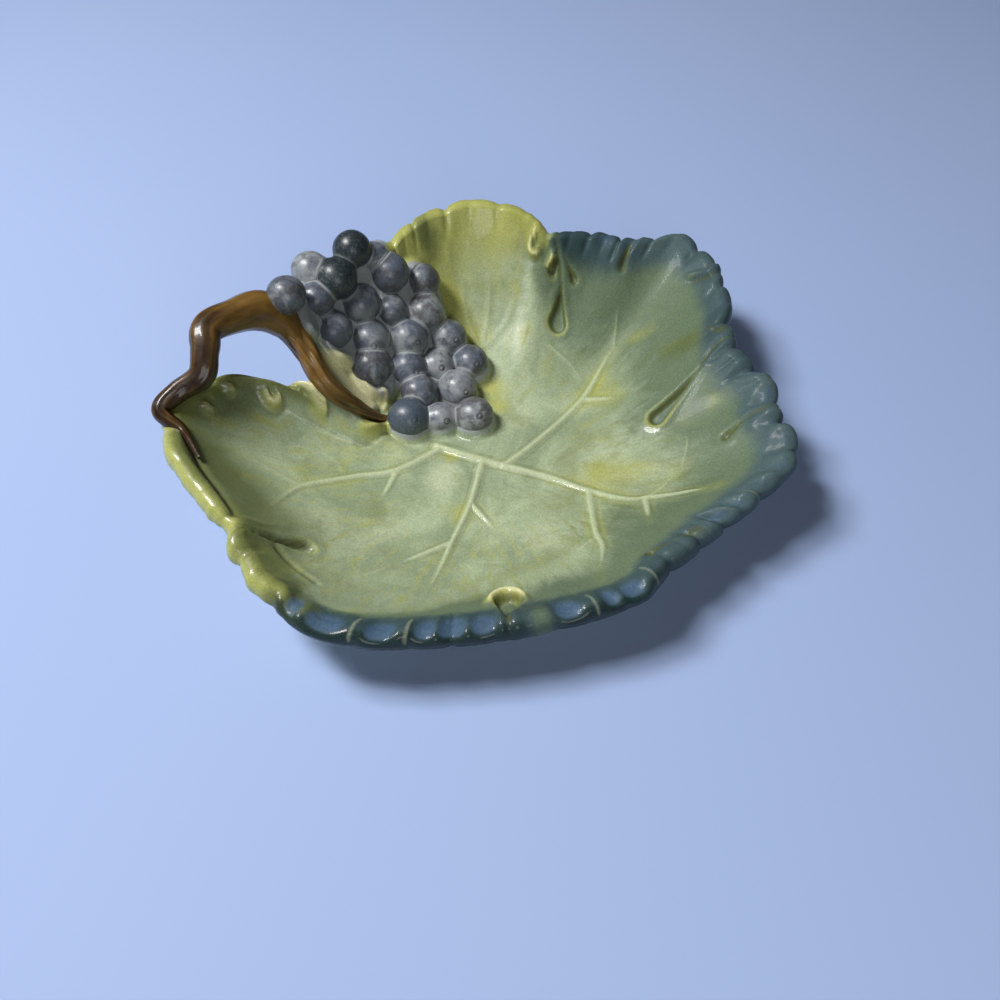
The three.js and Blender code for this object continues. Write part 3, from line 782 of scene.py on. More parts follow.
        # Pale blue of the slate band, partly a painted sheen on the far right corner
        mist_and_sheen = LINES.band(MIST_AND_SHEEN_BAND)
        self.stain("blue", hollow * (1.0 - 0.6 * mist_and_sheen))
        self.stain("mist_and_sheen", mist_and_sheen * np.ones_like(self.share))
        ridge = LINES.ridge * smooth(5.0, 1.0, self.inset)
        self.height += RIDGE_HEIGHT * ridge
        self.stain("ridge", ridge)

    def bunch_ground(self, height):
        """Clay under the grapes and between them, which falls off over a narrow border round each grape."""
        middles, radii = grape_middles()
        ground = np.zeros_like(self.height)
        for middle, radius in zip(middles, radii):
            ground = np.maximum(ground, smooth(1.6, -1.2, self.away(middle[:2]) - radius))
        self.height += height * ground
        self.stain("lilac", smooth(0.12, 0.7, ground))

    def glaze_bands(self):
        """Bands that fade inwards from the rim, round clouds of glaze and a slow swell of the clay."""
        bands = (
            ("slate", SLATE_BAND, 1.0),
            ("fern", FERN_BAND, 1.0),
            ("gold", GOLD_BAND, 0.9),
            # The moss band is partly painted shade on the left wall
            ("moss_and_shade", MOSS_AND_SHADE_BAND, 0.85),
        )
        hair = 0.01
        for name, table, strength in bands:
            width = LINES.band(table)
            faint = np.clip(width / FAINT_INSIDE, 0.0, 1.0)
            self.stain(name, strength * faint * smooth(1.0, 0.0, self.inset / (width + hair)))
        for name, clouds in STAINS.items():
            for x, y, radius, strength in clouds:
                cloud = strength * bell(self.away((x, y)), radius)
                self.masks[name] = np.clip(self.masks[name] + cloud, 0.0, 1.0)
        self.stain("brush", smooth(0.22, 0.6, self.share) * (1.0 - 0.7 * self.masks["gold"]))
        slow = np.sin(self.plan[..., 0] / 13.0 + 1.3) * np.sin(self.plan[..., 1] / 17.0)
        slow += np.sin((self.plan[..., 0] - self.plan[..., 1]) / 23.0)
        self.height += SWELL_HEIGHT * slow * smooth(0.1, 0.4, self.share)


def lip_glaze(wall_masks, turn, hollow, groove):
    """Masks of the rolled edge: those of the wall fade out over it and the rim's own colours take over."""
    full = np.ones_like(turn)
    mist_and_sheen = LINES.band(MIST_AND_SHEEN_BAND)
    blue_edge = np.clip(LINES.band(SLATE_BAND) / FAINT_EDGE, 0.0, 1.0)
    slate = blue_edge * (1.0 - 0.7 * LINES.bare)
    near = np.clip(1.0 - mist_and_sheen / 0.85, 0.0, 1.0) * slate * (1.0 - LINES.bare)
    masks = {name: mask[-1] * (1.0 - smooth(0.0, 0.5, turn)) for name, mask in wall_masks.items()}
    masks["slate"] = slate * full
    masks["gold"] = np.clip(LINES.band(GOLD_BAND) / FAINT_EDGE, 0.0, 1.0) * full
    masks["blue"] = hollow * (1.0 - 0.6 * mist_and_sheen)
    # Painted shade on the outer, lower part of the rolled near rim, over its dark green glaze
    masks["shade"] = near * smooth(0.12, 0.3, turn) * smooth(0.6, 0.2, hollow)
    masks["fern"] = blue_edge * full
    masks["mist_and_sheen"] = mist_and_sheen * smooth(0.7, 0.4, turn)
    masks["ridge"] = LINES.ridge * smooth(0.6, 0.4, turn)
    masks["pool_and_shade"] = np.maximum(masks["pool_and_shade"], 0.35 * groove * LINES.frill * (1.0 - turn))
    masks["brush"] = full
    masks["under"] = smooth(0.9, 1.0, turn)
    return masks


def leaf_skin(shape):
    """Rows of the leaf from the hub over the inside, the rolled edge and the underside, with their masks.

    The rolled edge is a circle, pressed in by the pads and swelled by knuckles, ripples and thin ridges.
    """
    lines = LINES
    out = np.linspace(0.0, 1.0, WALL_ROWS + 1)[1:, None]
    share = 1.0 - (1.0 - out) ** 1.2 * np.ones_like(lines.reach)
    relief = Relief(wall_points(lines, share, np.zeros_like(share))[..., :2], share)
    relief.veins(shape.vein_height)
    relief.hollows(shape.tear_depth / MM, shape.crease_depth / MM)
    relief.curls(shape.curl_height)
    relief.rim(shape.groove_depth / MM, shape.pad_depth / MM)
    relief.bunch_ground(shape.ground_height / MM)
    relief.glaze_bands()
    masks = relief.masks
    masks["gold"] = masks["gold"] * (1.0 - 0.8 * masks["slate"])
    masks["cream"] = masks["cream"] * (1.0 - 0.8 * masks["slate"])
    inside = wall_points(lines, share, relief.height)

    turn = np.linspace(0.0, 1.0, LIP_ROWS + 1)[1:, None] * np.ones_like(lines.reach)
    degrees = LIP_START + (LIP_END - LIP_START) * turn
    across = turn * LIP * math.radians(LIP_START - LIP_END)
    groove = bell(lines.to_notch, GROOVE_WIDTH) * lines.depth
    fade = turn * smooth(1.0, 0.7, turn)
    hollow, bead = lines.pads(across)
    pad_height = BEAD_HEIGHT * bead - shape.pad_depth / MM * hollow
    level = relief.height[-1] - pad_height[0]
    swell = level * (1.0 - turn) ** 2 + pad_height
    rounded = 0.5 * lines.knuckle + 0.5 * lines.bump - 0.8
    swell += lines.frill * fade * (KNUCKLE_HEIGHT * rounded - 0.6 * groove)
    ripple = np.sin(3.4 * np.pi * lines.phase + 2.2) + 0.7 * np.sin(6.6 * np.pi * lines.phase) - 1.2
    swell += RIPPLE_HEIGHT * lines.ripple * ripple * fade
    swell += RIDGE_HEIGHT * lines.ridge * bell(turn - 0.2, 0.2) - OUTSIDE_TRIM * smooth(0.25, 0.5, turn)
    lip = lip_points(lines, degrees, swell)
    lip_masks = lip_glaze(masks, turn, hollow, groove)

    share_under = np.linspace(0.9, 0.05, UNDER_ROWS)[:, None] * np.ones_like(lines.reach)
    under = wall_points(lines, share_under, np.full_like(share_under, -WALL))
    under_masks = {name: np.zeros_like(share_under) for name in masks}
    under_masks["under"] += 1.0

    rows = np.concatenate([inside, lip, under])
    masks = {name: np.concatenate([masks[name], lip_masks[name], under_masks[name]]) for name in masks}
    radial = np.concatenate([share, 1.0 + 0.1 * turn, 1.1 + 0.9 * (1.0 - share_under)])
    flow = np.stack([12.0 * np.cos(lines.angle) * np.ones_like(radial),
                     12.0 * np.sin(lines.angle) * np.ones_like(radial), 6.0 * radial], axis=-1)
    first = np.array([*HUB, FLOOR])
    last = np.array([*HUB, FLOOR - WALL])
    return first, rows, last, masks, flow


# Meshes

def set_down(points):
    """Millimetres of the drawing to metres of the frame, the foot ring over its solid."""
    low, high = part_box("foot_ring")
    middle = np.array([(low.x + high.x) / 2, (low.y + high.y) / 2])
    return np.asarray(points, float) * MM + np.append(middle - FOOT_MIDDLE * MM, 0.0)


def skin_mesh(name, first, rows, last):
    """Closed skin: rows of places joined by quads, with a fan to a single place at each end."""
    count, sides = rows.shape[:2]
    places = set_down(np.vstack([first[None], rows.reshape(-1, 3), last[None]]))
    index = 1 + np.arange(count * sides).reshape(count, sides)
    after = np.roll(index, -1, axis=1)
    quads = np.stack([index[:-1], index[1:], after[1:], after[:-1]], axis=-1).reshape(-1, 4)
    top = np.stack([np.zeros(sides, int), index[0], after[0]], axis=-1)
    tail = np.stack([np.full(sides, len(places) - 1), after[-1], index[-1]], axis=-1)
    fans = np.vstack([top, tail])
    corners = np.concatenate([quads.ravel(), fans.ravel()])
    starts = np.concatenate([4 * np.arange(len(quads)), 4 * len(quads) + 3 * np.arange(len(fans))])
    mesh = bpy.data.meshes.new(name)
    mesh.vertices.add(len(places))
    mesh.vertices.foreach_set("co", places.ravel())
    mesh.loops.add(len(corners))
    mesh.loops.foreach_set("vertex_index", corners.astype(np.int32))
    mesh.polygons.add(len(starts))
    mesh.polygons.foreach_set("loop_start", starts.astype(np.int32))
    mesh.polygons.foreach_set("use_smooth", np.ones(len(starts), bool))
    mesh.update(calc_edges=True)
    return mesh


def with_ends(values, first, last):
    """Row values as one list for all places of a skin, the two ends included."""
    flat = values.reshape(-1, values.shape[-1])
    return np.vstack([np.asarray(first, float)[None], flat, np.asarray(last, float)[None]])


def paint(mesh, name, values):
    """Stores four numbers per place as a colour attribute, or three as a vector attribute."""
    if values.shape[1] == 4:
        layer = mesh.attributes.new(name, "FLOAT_COLOR", "POINT")
        layer.data.foreach_set("color", values.astype(np.float32).ravel())
    else:
        layer = mesh.attributes.new(name, "FLOAT_VECTOR", "POINT")
        layer.data.foreach_set("vector", values.astype(np.float32).ravel())


def place_piece(mesh, material, slot, *nodes):
    """Puts a finished mesh on the frame in place of its solids."""
    mesh.materials.append(material)
    piece = bpy.data.objects.new(mesh.name, mesh)
    bpy.context.scene.collection.objects.link(piece)
    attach(piece, BODY)
    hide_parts(*nodes)
    return piece


def carried_frames(curve):
    """Two directions square to the curve at every point, carried along it without twisting."""
    run = np.gradient(curve, axis=0)
    run /= np.linalg.norm(run, axis=1)[:, None]
    side = np.zeros_like(run)
    side[0] = np.cross(run[0], [0.3, 0.2, 1.0])
    for k in range(1, len(run)):
        side[k] = side[k - 1] - run[k] * (side[k - 1] @ run[k])
        side[k] /= np.linalg.norm(side[k])
    side[0] /= np.linalg.norm(side[0])
    return run, side, np.cross(run, side)


def rooted(root, path):
    """A twig's path with a thin root before it that lies on the leaf: plan and radius of each root point."""
    root = np.array(root, float)
    height = leaf_height(root[:, :2]) + 0.3 * root[:, 2]
    return np.vstack([np.column_stack([root[:, :2], height, root[:, 2]]), np.array(path, float)])


def dome_rows(ring, middle, tip):
    """Rows of a dome on a ring: quarter circles from the ring to the tip, without their ends."""
    angle = np.linspace(0.0, np.pi / 2, DOME_ROWS + 2)[1:-1, None, None]
    return middle + (ring - middle) * np.cos(angle) + (tip - middle) * np.sin(angle)


def twig_skin(path, depth, ridges, knots):
    """Rows of a twig: circles about a smooth curve, with bark grooves along it, knots and domed ends.

    The grooves are waves round the twig whose phase wanders along it. A knot is a bell-shaped swelling
    about its place, on one side of the twig.
    """
    share = np.linspace(0.0, 1.0, TWIG_ROWS)
    middle = at_shares(through(path), share)
    run, side, up = carried_frames(middle[:, :3])
    around = -2 * np.pi * np.arange(TWIG_SIDES) / TWIG_SIDES
    s, a = share[:, None], around[None, :]
    wander = 1.1 * np.sin(5.0 * s + 0.7) + 0.5 * np.sin(13.0 * s)
    groove = np.sin(ridges * a + 2.0 * wander) + 0.6 * np.sin((2 * ridges + 1) * a - 3.0 * wander + 1.0)
    groove += 0.4 * np.sin(3 * a + 9.0 * s)
    radius = middle[:, 3:4] + depth * (groove - 0.6) * np.minimum(1.0, middle[:, 3:4] / 4.0)
    for place, swell, width in knots:
        away = np.linalg.norm(middle[:, :3] - np.array(place), axis=1)[:, None]
        radius = radius + swell * bell(away, width) * (0.6 + 0.4 * np.cos(a - place[2]))
    rows = middle[:, None, :3] + radius[..., None] * (
        np.cos(a)[..., None] * side[:, None] + np.sin(a)[..., None] * up[:, None])
    first = middle[0, :3] - run[0] * DOME_SHARE * middle[0, 3]
    last = middle[-1, :3] + run[-1] * DOME_SHARE * middle[-1, 3]
    start = dome_rows(rows[0], middle[0, :3], first)[::-1]
    finish = dome_rows(rows[-1], middle[-1, :3], last)
    rows = np.concatenate([start, rows, finish])
    domes = ((DOME_ROWS, DOME_ROWS), (0, 0))
    crest = np.pad(smooth(-0.6, 1.4, groove), domes, mode="edge")
    along = np.pad(s * np.ones_like(groove), domes, mode="edge")
    return first, rows, last, along, crest


def scatter(k, wave, size):
    """A number from 0 to 1 that jumps from one count to the next and is the same on each run."""
    return np.sin(wave * (k + 1)) * size % 1.0


def grape_skin(k, middles, radii):
    """Rows of one grape from its blossom mark to the far side, with its masks.

    A ball with slight hollows and swellings, a sunk ring and a dot for the mark, pressed flat with
    rounded edges where it meets its neighbours, with a low bell-shaped web along the seams.
    """
    middle, radius = middles[k], radii[k]
    polar = np.pi * (np.linspace(0.0, 1.0, GRAPE_ROWS + 1)[1:-1] ** 1.25)[:, None]
    around = 2 * np.pi * np.arange(GRAPE_SIDES)[None, :] / GRAPE_SIDES
    spread = scatter(k, 12.9898, 43758.5453)
    tilt = scatter(k, 78.233, 12543.123)
    axis = np.array([0.40 + 0.4 * (spread - 0.5), -0.75, 0.5 + 0.5 * (tilt - 0.5)])
    axis /= np.linalg.norm(axis)
    side = np.cross(axis, [0.0, 0.0, 1.0])
    side /= np.linalg.norm(side)
    up = np.cross(axis, side)
    polar_full = polar + 0.0 * around
    ball = (np.cos(polar_full)[..., None] * axis + (np.sin(polar) * np.cos(around))[..., None] * side
            + (np.sin(polar) * np.sin(around))[..., None] * up)
    wave = np.sin(3.1 * ball[..., 0] + 5.0 * spread) * np.sin(2.7 * ball[..., 2] + 4.0 * tilt)
    arc = radius * polar_full
    marked = 1.0 if k + 1 in MARKED_GRAPES else 0.15
    ring = marked * bell(arc - MARK_RADIUS, 0.3)
    reach = radius * (BALL_SHARE + DENT_SHARE * wave)
    reach += MARK_DOT * marked * bell(arc, 0.5) - MARK_DEPTH * ring
    rows = middle + ball * reach[..., None]
    seam = np.zeros_like(arc)
    web = np.zeros_like(arc)
    for other in range(len(middles)):
        apart = np.linalg.norm(middles[other] - middle)
        if other == k or apart > radius + radii[other] + TOUCH_GAP:
            continue
        toward = (middles[other] - middle) / apart
        flat = (apart ** 2 + radius ** 2 - radii[other] ** 2) / (2 * apart) - FACE_GAP
        past = (rows - middle) @ toward - flat
        rounded = np.clip(past + FACE_SOFT, 0.0, None) ** 2 / (4 * FACE_SOFT)
        push = np.where(past > FACE_SOFT, past, rounded)
        rows = rows - toward * push[..., None]
        seam = np.maximum(seam, smooth(-1.5, -0.2, past))
        web = np.maximum(web, bell(past, 0.8))
    rows = rows + ball * (WEB_HEIGHT * web)[..., None]
    above = rows[..., 2] - leaf_height(rows[..., :2])
    seam = np.maximum(seam, smooth(4.6, 2.8, above))
    mark = np.maximum(ring, 0.7 * marked * bell(arc, 0.4))
    tone = 0.5 + 0.5 * (k + 1 in PALE_GRAPES) - 0.5 * (k + 1 in DEEP_GRAPES)
    if k + 1 in DARK_GRAPES:
        tone = float(k + 1 == LIGHTEST_DARK_GRAPE)
    masks = np.stack([seam, mark, np.full_like(arc, tone), np.full_like(arc, tilt)], axis=-1)
    first = middle + axis * (BALL_SHARE * radius + MARK_DOT)
    last = middle - BALL_SHARE * axis * radius
    return first, rows, last, masks


def foot_skin():
    """Rows of the foot ring: a rounded profile turned about its middle, its top sunk into the leaf above."""
    inside = FOOT_RADIUS - FOOT_WIDTH
    soft = FOOT_WIDTH / 4
    around = 2 * np.pi * np.arange(FOOT_SIDES) / FOOT_SIDES
    ray = np.stack([np.cos(around), np.sin(around)], axis=-1)
    middle_ring = FOOT_MIDDLE + ray * (FOOT_RADIUS - FOOT_WIDTH / 2)
    top = leaf_height(middle_ring) - FOOT_SINK * WALL
    profile = [(inside + FOOT_TAPER, 1.0)]
    profile += [(inside, share) for share in (0.8, 0.55, 0.3)]
    corner = np.linspace(0.0, np.pi / 2, 5)
    profile += [(inside + soft - soft * math.cos(c), None, soft - soft * math.sin(c)) for c in corner]
    profile += [(FOOT_RADIUS - soft + soft * math.sin(c), None, soft - soft * math.cos(c)) for c in corner]
    profile += [(FOOT_RADIUS, share) for share in (0.3, 0.55, 0.8)]
    profile += [(FOOT_RADIUS - FOOT_TAPER, 1.0)]
    rows = []
    for radius, share, *height in profile:
        level = np.full(FOOT_SIDES, height[0]) if height else soft + (top - soft) * share
        rows.append(np.column_stack([FOOT_MIDDLE + ray * radius, level]))
    return np.array(rows)


def ring_mesh(name, rows):
    """Closed ring: rows of places joined by quads, the last row back to the first."""
    count, sides = rows.shape[:2]
    index = np.arange(count * sides).reshape(count, sides)
    below = np.roll(index, -1, axis=0)
    quads = np.stack([index, np.roll(index, -1, axis=1), np.roll(below, -1, axis=1), below], axis=-1)
    mesh = bpy.data.meshes.new(name)
    mesh.from_pydata(set_down(rows.reshape(-1, 3)).tolist(), [], quads.reshape(-1, 4).tolist())
    mesh.polygons.foreach_set("use_smooth", np.ones(len(mesh.polygons), bool))
    return mesh


# Glazes

class Glaze:
    """A node material that is put together step by step."""

    def __init__(self, name):
        self.material = bpy.data.materials.new(name)
        self.material.use_nodes = True
        self.nodes = self.material.node_tree.nodes
        self.links = self.material.node_tree.links
        self.shader = self.nodes["Principled BSDF"]
        self.place = self.nodes.new("ShaderNodeTexCoord").outputs["Object"]

    def feed(self, socket, value):
        """Links an output to the socket, or sets its value."""
        if isinstance(value, bpy.types.NodeSocket):
            self.links.new(value, socket)
        else:
            socket.default_value = value

    def masks(self, layer):
        """The four numbers of a colour attribute."""
        source = self.nodes.new("ShaderNodeAttribute")
        source.attribute_name = layer
        split = self.nodes.new("ShaderNodeSeparateColor")
        self.links.new(source.outputs["Color"], split.inputs["Color"])
        return [*split.outputs, source.outputs["Alpha"]]

    def vector(self, layer):
        """The vector of an attribute."""
        source = self.nodes.new("ShaderNodeAttribute")
        source.attribute_name = layer
        return source.outputs["Vector"]

    def noise(self, scale, detail=4.0, rough=0.55, place=None, warp=0.0):
        """Cloudy noise, features per metre."""
        node = self.nodes.new("ShaderNodeTexNoise")
        self.feed(node.inputs["Vector"], place or self.place)
        self.feed(node.inputs["Scale"], scale)
        self.feed(node.inputs["Detail"], detail)
        self.feed(node.inputs["Roughness"], rough)
        self.feed(node.inputs["Distortion"], warp)
        return node.outputs["Fac"]

    def span(self, value, low, high, to_low=0.0, to_high=1.0):
        """Stretches the part of a value between two limits, with level ends."""
        node = self.nodes.new("ShaderNodeMapRange")
        node.interpolation_type = "SMOOTHSTEP"
        for name, number in (("Value", value), ("From Min", low), ("From Max", high),
                             ("To Min", to_low), ("To Max", to_high)):
            self.feed(node.inputs[name], number)
        return node.outputs["Result"]

    def sum(self, kind, a, b):
        """One arithmetic step."""
        node = self.nodes.new("ShaderNodeMath")
        node.operation = kind
        self.feed(node.inputs[0], a)
        self.feed(node.inputs[1], b)
        return node.outputs[0]

    def plus(self, value, *terms):
        """Adds terms to a value, each times its weight."""
        for term, weight in terms:
            value = self.sum("ADD", value, self.sum("MULTIPLY", term, weight))
        return value

    def lay(self, colour, *layers):
        """Lays tints over a colour, each by its mask: from none at a low limit to a share at a high one."""
        for mask, low, high, most, tint in layers:
            colour = self.mix(self.span(mask, low, high, 0.0, most), colour, tint)
        return colour

    def mix(self, share, a, b, blend="MIX"):
        """Mixes two colours."""
        node = self.nodes.new("ShaderNodeMix")
        node.data_type = "RGBA"
        node.blend_type = blend
        self.feed(node.inputs[0], share)
        for socket, colour in ((node.inputs[6], a), (node.inputs[7], b)):
            self.feed(socket, colour if isinstance(colour, bpy.types.NodeSocket) else (*colour[:3], 1.0))
        return node.outputs[2]

    def finish(self, colour, rough, bump, bump_size, coat, coat_rough):
        """Sets the glaze on the shader: colour, roughness, a fine bump and a clear coat."""
        self.feed(self.shader.inputs["Base Color"], colour)
        self.feed(self.shader.inputs["Roughness"], rough)
        self.feed(self.shader.inputs["Coat Weight"], coat)
        self.shader.inputs["Coat Roughness"].default_value = coat_rough
        node = self.nodes.new("ShaderNodeBump")
        node.inputs["Strength"].default_value = 1.0
        node.inputs["Distance"].default_value = bump_size
        self.feed(node.inputs["Height"], bump)
        self.links.new(node.outputs["Normal"], self.shader.inputs["Normal"])
        return self.material


def leaf_glaze(colours):
    """Mottled sage glaze that runs to yellow-green, dark green, slate and olive by the leaf's masks; some
    masks also hold painted shade, a painted sheen and painted light.
    """
    g = Glaze("leaf_glaze")
    vein, slate, gold, pool_and_shade = g.masks("glaze_a")
    brown, cream, lilac, under = g.masks("glaze_b")
    moss_and_shade, pale, blue, brush = g.masks("glaze_c")
    mist_and_sheen, shade, ridge, fern = g.masks("glaze_d")
    clouds = g.noise(32.0, 5.0, 0.62, warp=0.6)
    mottle = g.noise(120.0, 5.0, 0.64, warp=0.6)
    streaks = g.noise(1.5, 6.0, 0.64, place=g.vector("flow"), warp=0.6)
    speck = g.noise(1500.0, 3.0, 0.6)
    drift = g.sum("SUBTRACT", streaks, 0.5)
    cloudy = g.sum("SUBTRACT", clouds, 0.5)

    def uneven(mask, by_clouds, by_streaks):
        """A mask with a broken edge."""
        return g.plus(mask, (cloudy, by_clouds), (drift, by_streaks))

    colour = g.lay(
        colours.grey_sage,
        (clouds, 0.38, 0.66, 1.0, colours.sage),
        (mottle, 0.48, 0.8, 0.32, colours.milk),
        # Milk by the pale mask: pale glaze clouds, and a painted highlight inside the tears
        (uneven(pale, 1.0, 0.6), 0.15, 0.95, 0.75, colours.milk),
        (g.noise(48.0, 5.0, 0.62, warp=1.0), 0.5, 0.7, 0.55, colours.wash))
    strokes = ((0.47, 0.7, 0.6, colours.yellow_green), (0.46, 0.30, 0.65, colours.grey_sage))
    for low, high, most, tint in strokes:
        stroke = g.sum("MULTIPLY", brush, g.span(streaks, low, high, 0.0, most))
        colour = g.mix(stroke, colour, tint)
    # Mist blue over the slate: paler glaze, and a painted sheen on the far right corner
    mist_and_sheen_share = g.sum("MULTIPLY", mist_and_sheen, g.span(clouds, 0.3, 0.6, 0.45, 1.0))
    deep = g.mix(mist_and_sheen_share, colours.slate, colours.mist_and_sheen)
    colour = g.lay(
        colour,
        (uneven(fern, 1.0, 0.8), 0.05, 0.75, 0.88, colours.fern),
        (uneven(slate, 0.7, 0.6), 0.1, 0.85, 0.92, deep),
        (uneven(gold, 1.3, 0.15), 0.2, 1.0, 0.9, colours.yellow_green),
        # Moss: dark green glaze clouds, and painted shade on the left wall
        (uneven(moss_and_shade, 1.9, 0.2), 0.15, 0.95, 0.85, colours.moss_and_shade),
        # Painted shade of the near rim's lower face, over its dark green border
        (shade, 0.1, 0.9, 0.9, colours.shade),
        (uneven(blue, 0.5, 0.0), 0.1, 0.65, 0.85, colours.denim),
        (ridge, 0.3, 0.9, 0.3, colours.milk),
        (lilac, 0.1, 0.9, 1.0, colours.lilac),
        # Cream: pale glaze, made lighter as painted light on the ledge and curls
        (cream, 0.1, 0.9, 0.95, colours.cream),
        # Olive by the pooled-glaze mask, which also holds the painted shade beside the veins
        (pool_and_shade, 0.1, 0.9, 0.85, colours.olive),
        (vein, 0.15, 0.75, 0.85, colours.vein),
        (brown, 0.15, 0.7, 1.0, colours.bark))
    colour = g.mix(g.sum("MULTIPLY", under, g.span(clouds, 0.3, 0.7, 0.35, 0.8)), colour, colours.cream)
    colour = g.mix(1.0, colour, g.span(speck, 0.3, 0.7, 0.84, 1.12), "MULTIPLY")
    rough = g.plus(g.span(clouds, 0.3, 0.7, 0.38, 0.5), (slate, 0.06), (vein, 0.25))
    waves = g.plus(g.noise(60.0, 2.0), (mottle, 0.15))
    g.feed(g.shader.inputs["Specular IOR Level"], g.span(fern, 0.1, 0.7, 0.5, 0.14))
    coat = g.plus(g.span(fern, 0.1, 0.7, 0.42, 0.05), (shade, 0.35))
    coat = g.sum("MULTIPLY", coat, g.span(vein, 0.1, 0.8, 1.0, 0.15))
    return g.finish(colour, rough, waves, 0.6 * MM, coat, 0.08)


def twig_glaze(colours):
    """Brown glaze, honey where it is thin on the ridges and dark in the grooves and towards the rim."""
    g = Glaze("twig_glaze")
    crest, dark, *_ = g.masks("glaze_a")
    clouds = g.noise(70.0, 5.0, 0.6, warp=0.5)
    streaks = g.noise(3.0, 4.0, 0.6, place=g.vector("flow"), warp=0.3)
    light = g.plus(0.0, (crest, 0.1), (streaks, 0.2), (clouds, 0.4), (dark, -0.2))
    colour = g.mix(g.span(light, 0.1, 0.45), colours.bark, colours.honey)
    rough = g.span(clouds, 0.3, 0.7, 0.34, 0.46)
    bump = g.sum("ADD", g.noise(260.0, 4.0), streaks)
    g.shader.inputs["Specular IOR Level"].default_value = 0.3
    return g.finish(colour, rough, bump, 0.18 * MM, 0.4, 0.12)


def grape_glaze(colours, dark):
    """Cloudy slate glaze, pale in the seams between the grapes and brown round the blossom mark."""
    g = Glaze("dark_grape_glaze" if dark else "grape_glaze")
    seam, mark, tone, warmth = g.masks("glaze_a")
    clouds = g.noise(95.0, 5.0, 0.66, warp=0.8)
    fine = g.noise(230.0, 5.0, 0.66, warp=0.6)
    speck = g.noise(1200.0, 2.0, 0.5)
    if dark:
        colour = g.lay(
            colours.dark_grape,
            (tone, 0.5, 1.0, 1.0, colours.slate_grape),
            (clouds, 0.45, 0.75, 0.5, colours.dark_bloom),
            (seam, 0.6, 1.0, 0.4, colours.lilac))
    else:
        light = g.plus(clouds, (g.sum("SUBTRACT", tone, 0.5), 0.22))
        brown = g.plus(fine, (g.sum("SUBTRACT", warmth, 0.5), 0.3), (mark, 0.25))
        colour = g.lay(
            colours.grape,
            (light, 0.38, 0.7, 0.8, colours.lilac),
            (brown, 0.5, 0.7, 0.75, colours.grape_warm),
            (seam, 0.3, 1.0, 0.85, colours.lilac))
    colour = g.lay(
        colour,
        (mark, 0.5, 1.0, 0.75, colours.blossom),
        (speck, 0.45, 0.75, 0.12, colours.bloom))
    rough = g.span(clouds, 0.3, 0.7, 0.3, 0.44)
    return g.finish(colour, rough, fine, 0.25 * MM, 0.16, 0.2)


def base_glaze(colours):
    """Pale worn glaze of the foot ring."""
    g = Glaze("base_glaze")
    clouds = g.noise(60.0, 5.0, 0.6, warp=0.4)
    colour = g.lay(
        colours.cream,
        (clouds, 0.35, 0.7, 1.0, colours.sage),
        (g.noise(400.0, 3.0), 0.55, 0.75, 0.4, colours.honey))
    return g.finish(colour, g.span(clouds, 0.3, 0.7, 0.3, 0.5), g.noise(300.0, 3.0), 0.3 * MM, 0.2, 0.2)


# Operators

class LEAFBOWL_OT_leaf(bpy.types.Operator):
    """Build the glazed leaf with its veins, hollows and scalloped rim"""

    bl_idname = "leafbowl.leaf"
    bl_label = "Leaf"

    def execute(self, context):
        settings = context.scene.leaf_bowl
        first, rows, last, masks, flow = leaf_skin(settings.shape)
        mesh = skin_mesh("glazed_leaf", first, rows, last)
        for layer, names in MASK_LAYERS.items():
            values = np.stack([masks[name] for name in names], axis=-1)
            paint(mesh, layer, with_ends(values, values[0, 0], values[-1, 0]))
        paint(mesh, "flow", with_ends(flow, flow[0, 0], flow[-1, 0]))
        place_piece(mesh, leaf_glaze(settings.colours), "leaf_glaze", "leaf_dish")
        return {"FINISHED"}


class LEAFBOWL_OT_foot(bpy.types.Operator):
    """Build the foot ring under the leaf"""

    bl_idname = "leafbowl.foot"
    bl_label = "Foot"

    def execute(self, context):
        settings = context.scene.leaf_bowl
        mesh = ring_mesh("glazed_foot", foot_skin())
        place_piece(mesh, base_glaze(settings.colours), "base_glaze", "foot_ring")
        return {"FINISHED"}


class LEAFBOWL_OT_twigs(bpy.types.Operator):
    """Build the twig handle and the leaf stalk"""

    bl_idname = "leafbowl.twigs"
    bl_label = "Twigs"

    def execute(self, context):
        settings = context.scene.leaf_bowl
        depth = settings.shape.bark_depth / MM
        material = twig_glaze(settings.colours)
        pieces = (
            ("glazed_handle", "twig_handle", rooted(ROOT, HANDLE), 0.5 * depth, 4, KNOTS, 1.0),
            ("glazed_stalk", "leaf_stalk", STALK, depth, 5, [], 0.0),
        )
        for name, node, path, bark, ridges, knots, darkening in pieces:
            first, rows, last, along, crest = twig_skin(path, bark, ridges, knots)
            mesh = skin_mesh(name, first, rows, last)
            dark = darkening * smooth(0.78, 0.45, along)
            spare = np.zeros_like(along)
            values = np.stack([crest, dark, spare, spare], axis=-1)
            paint(mesh, "glaze_a", with_ends(values, values[0, 0], values[-1, 0]))
            around = 2 * np.pi * np.arange(rows.shape[1]) / rows.shape[1] * np.ones_like(along)
            flow = np.stack([np.cos(around), np.sin(around), 4.0 * along], axis=-1)
            paint(mesh, "flow", with_ends(flow, flow[0, 0], flow[-1, 0]))
            place_piece(mesh, material, "twig_glaze", node)
        return {"FINISHED"}


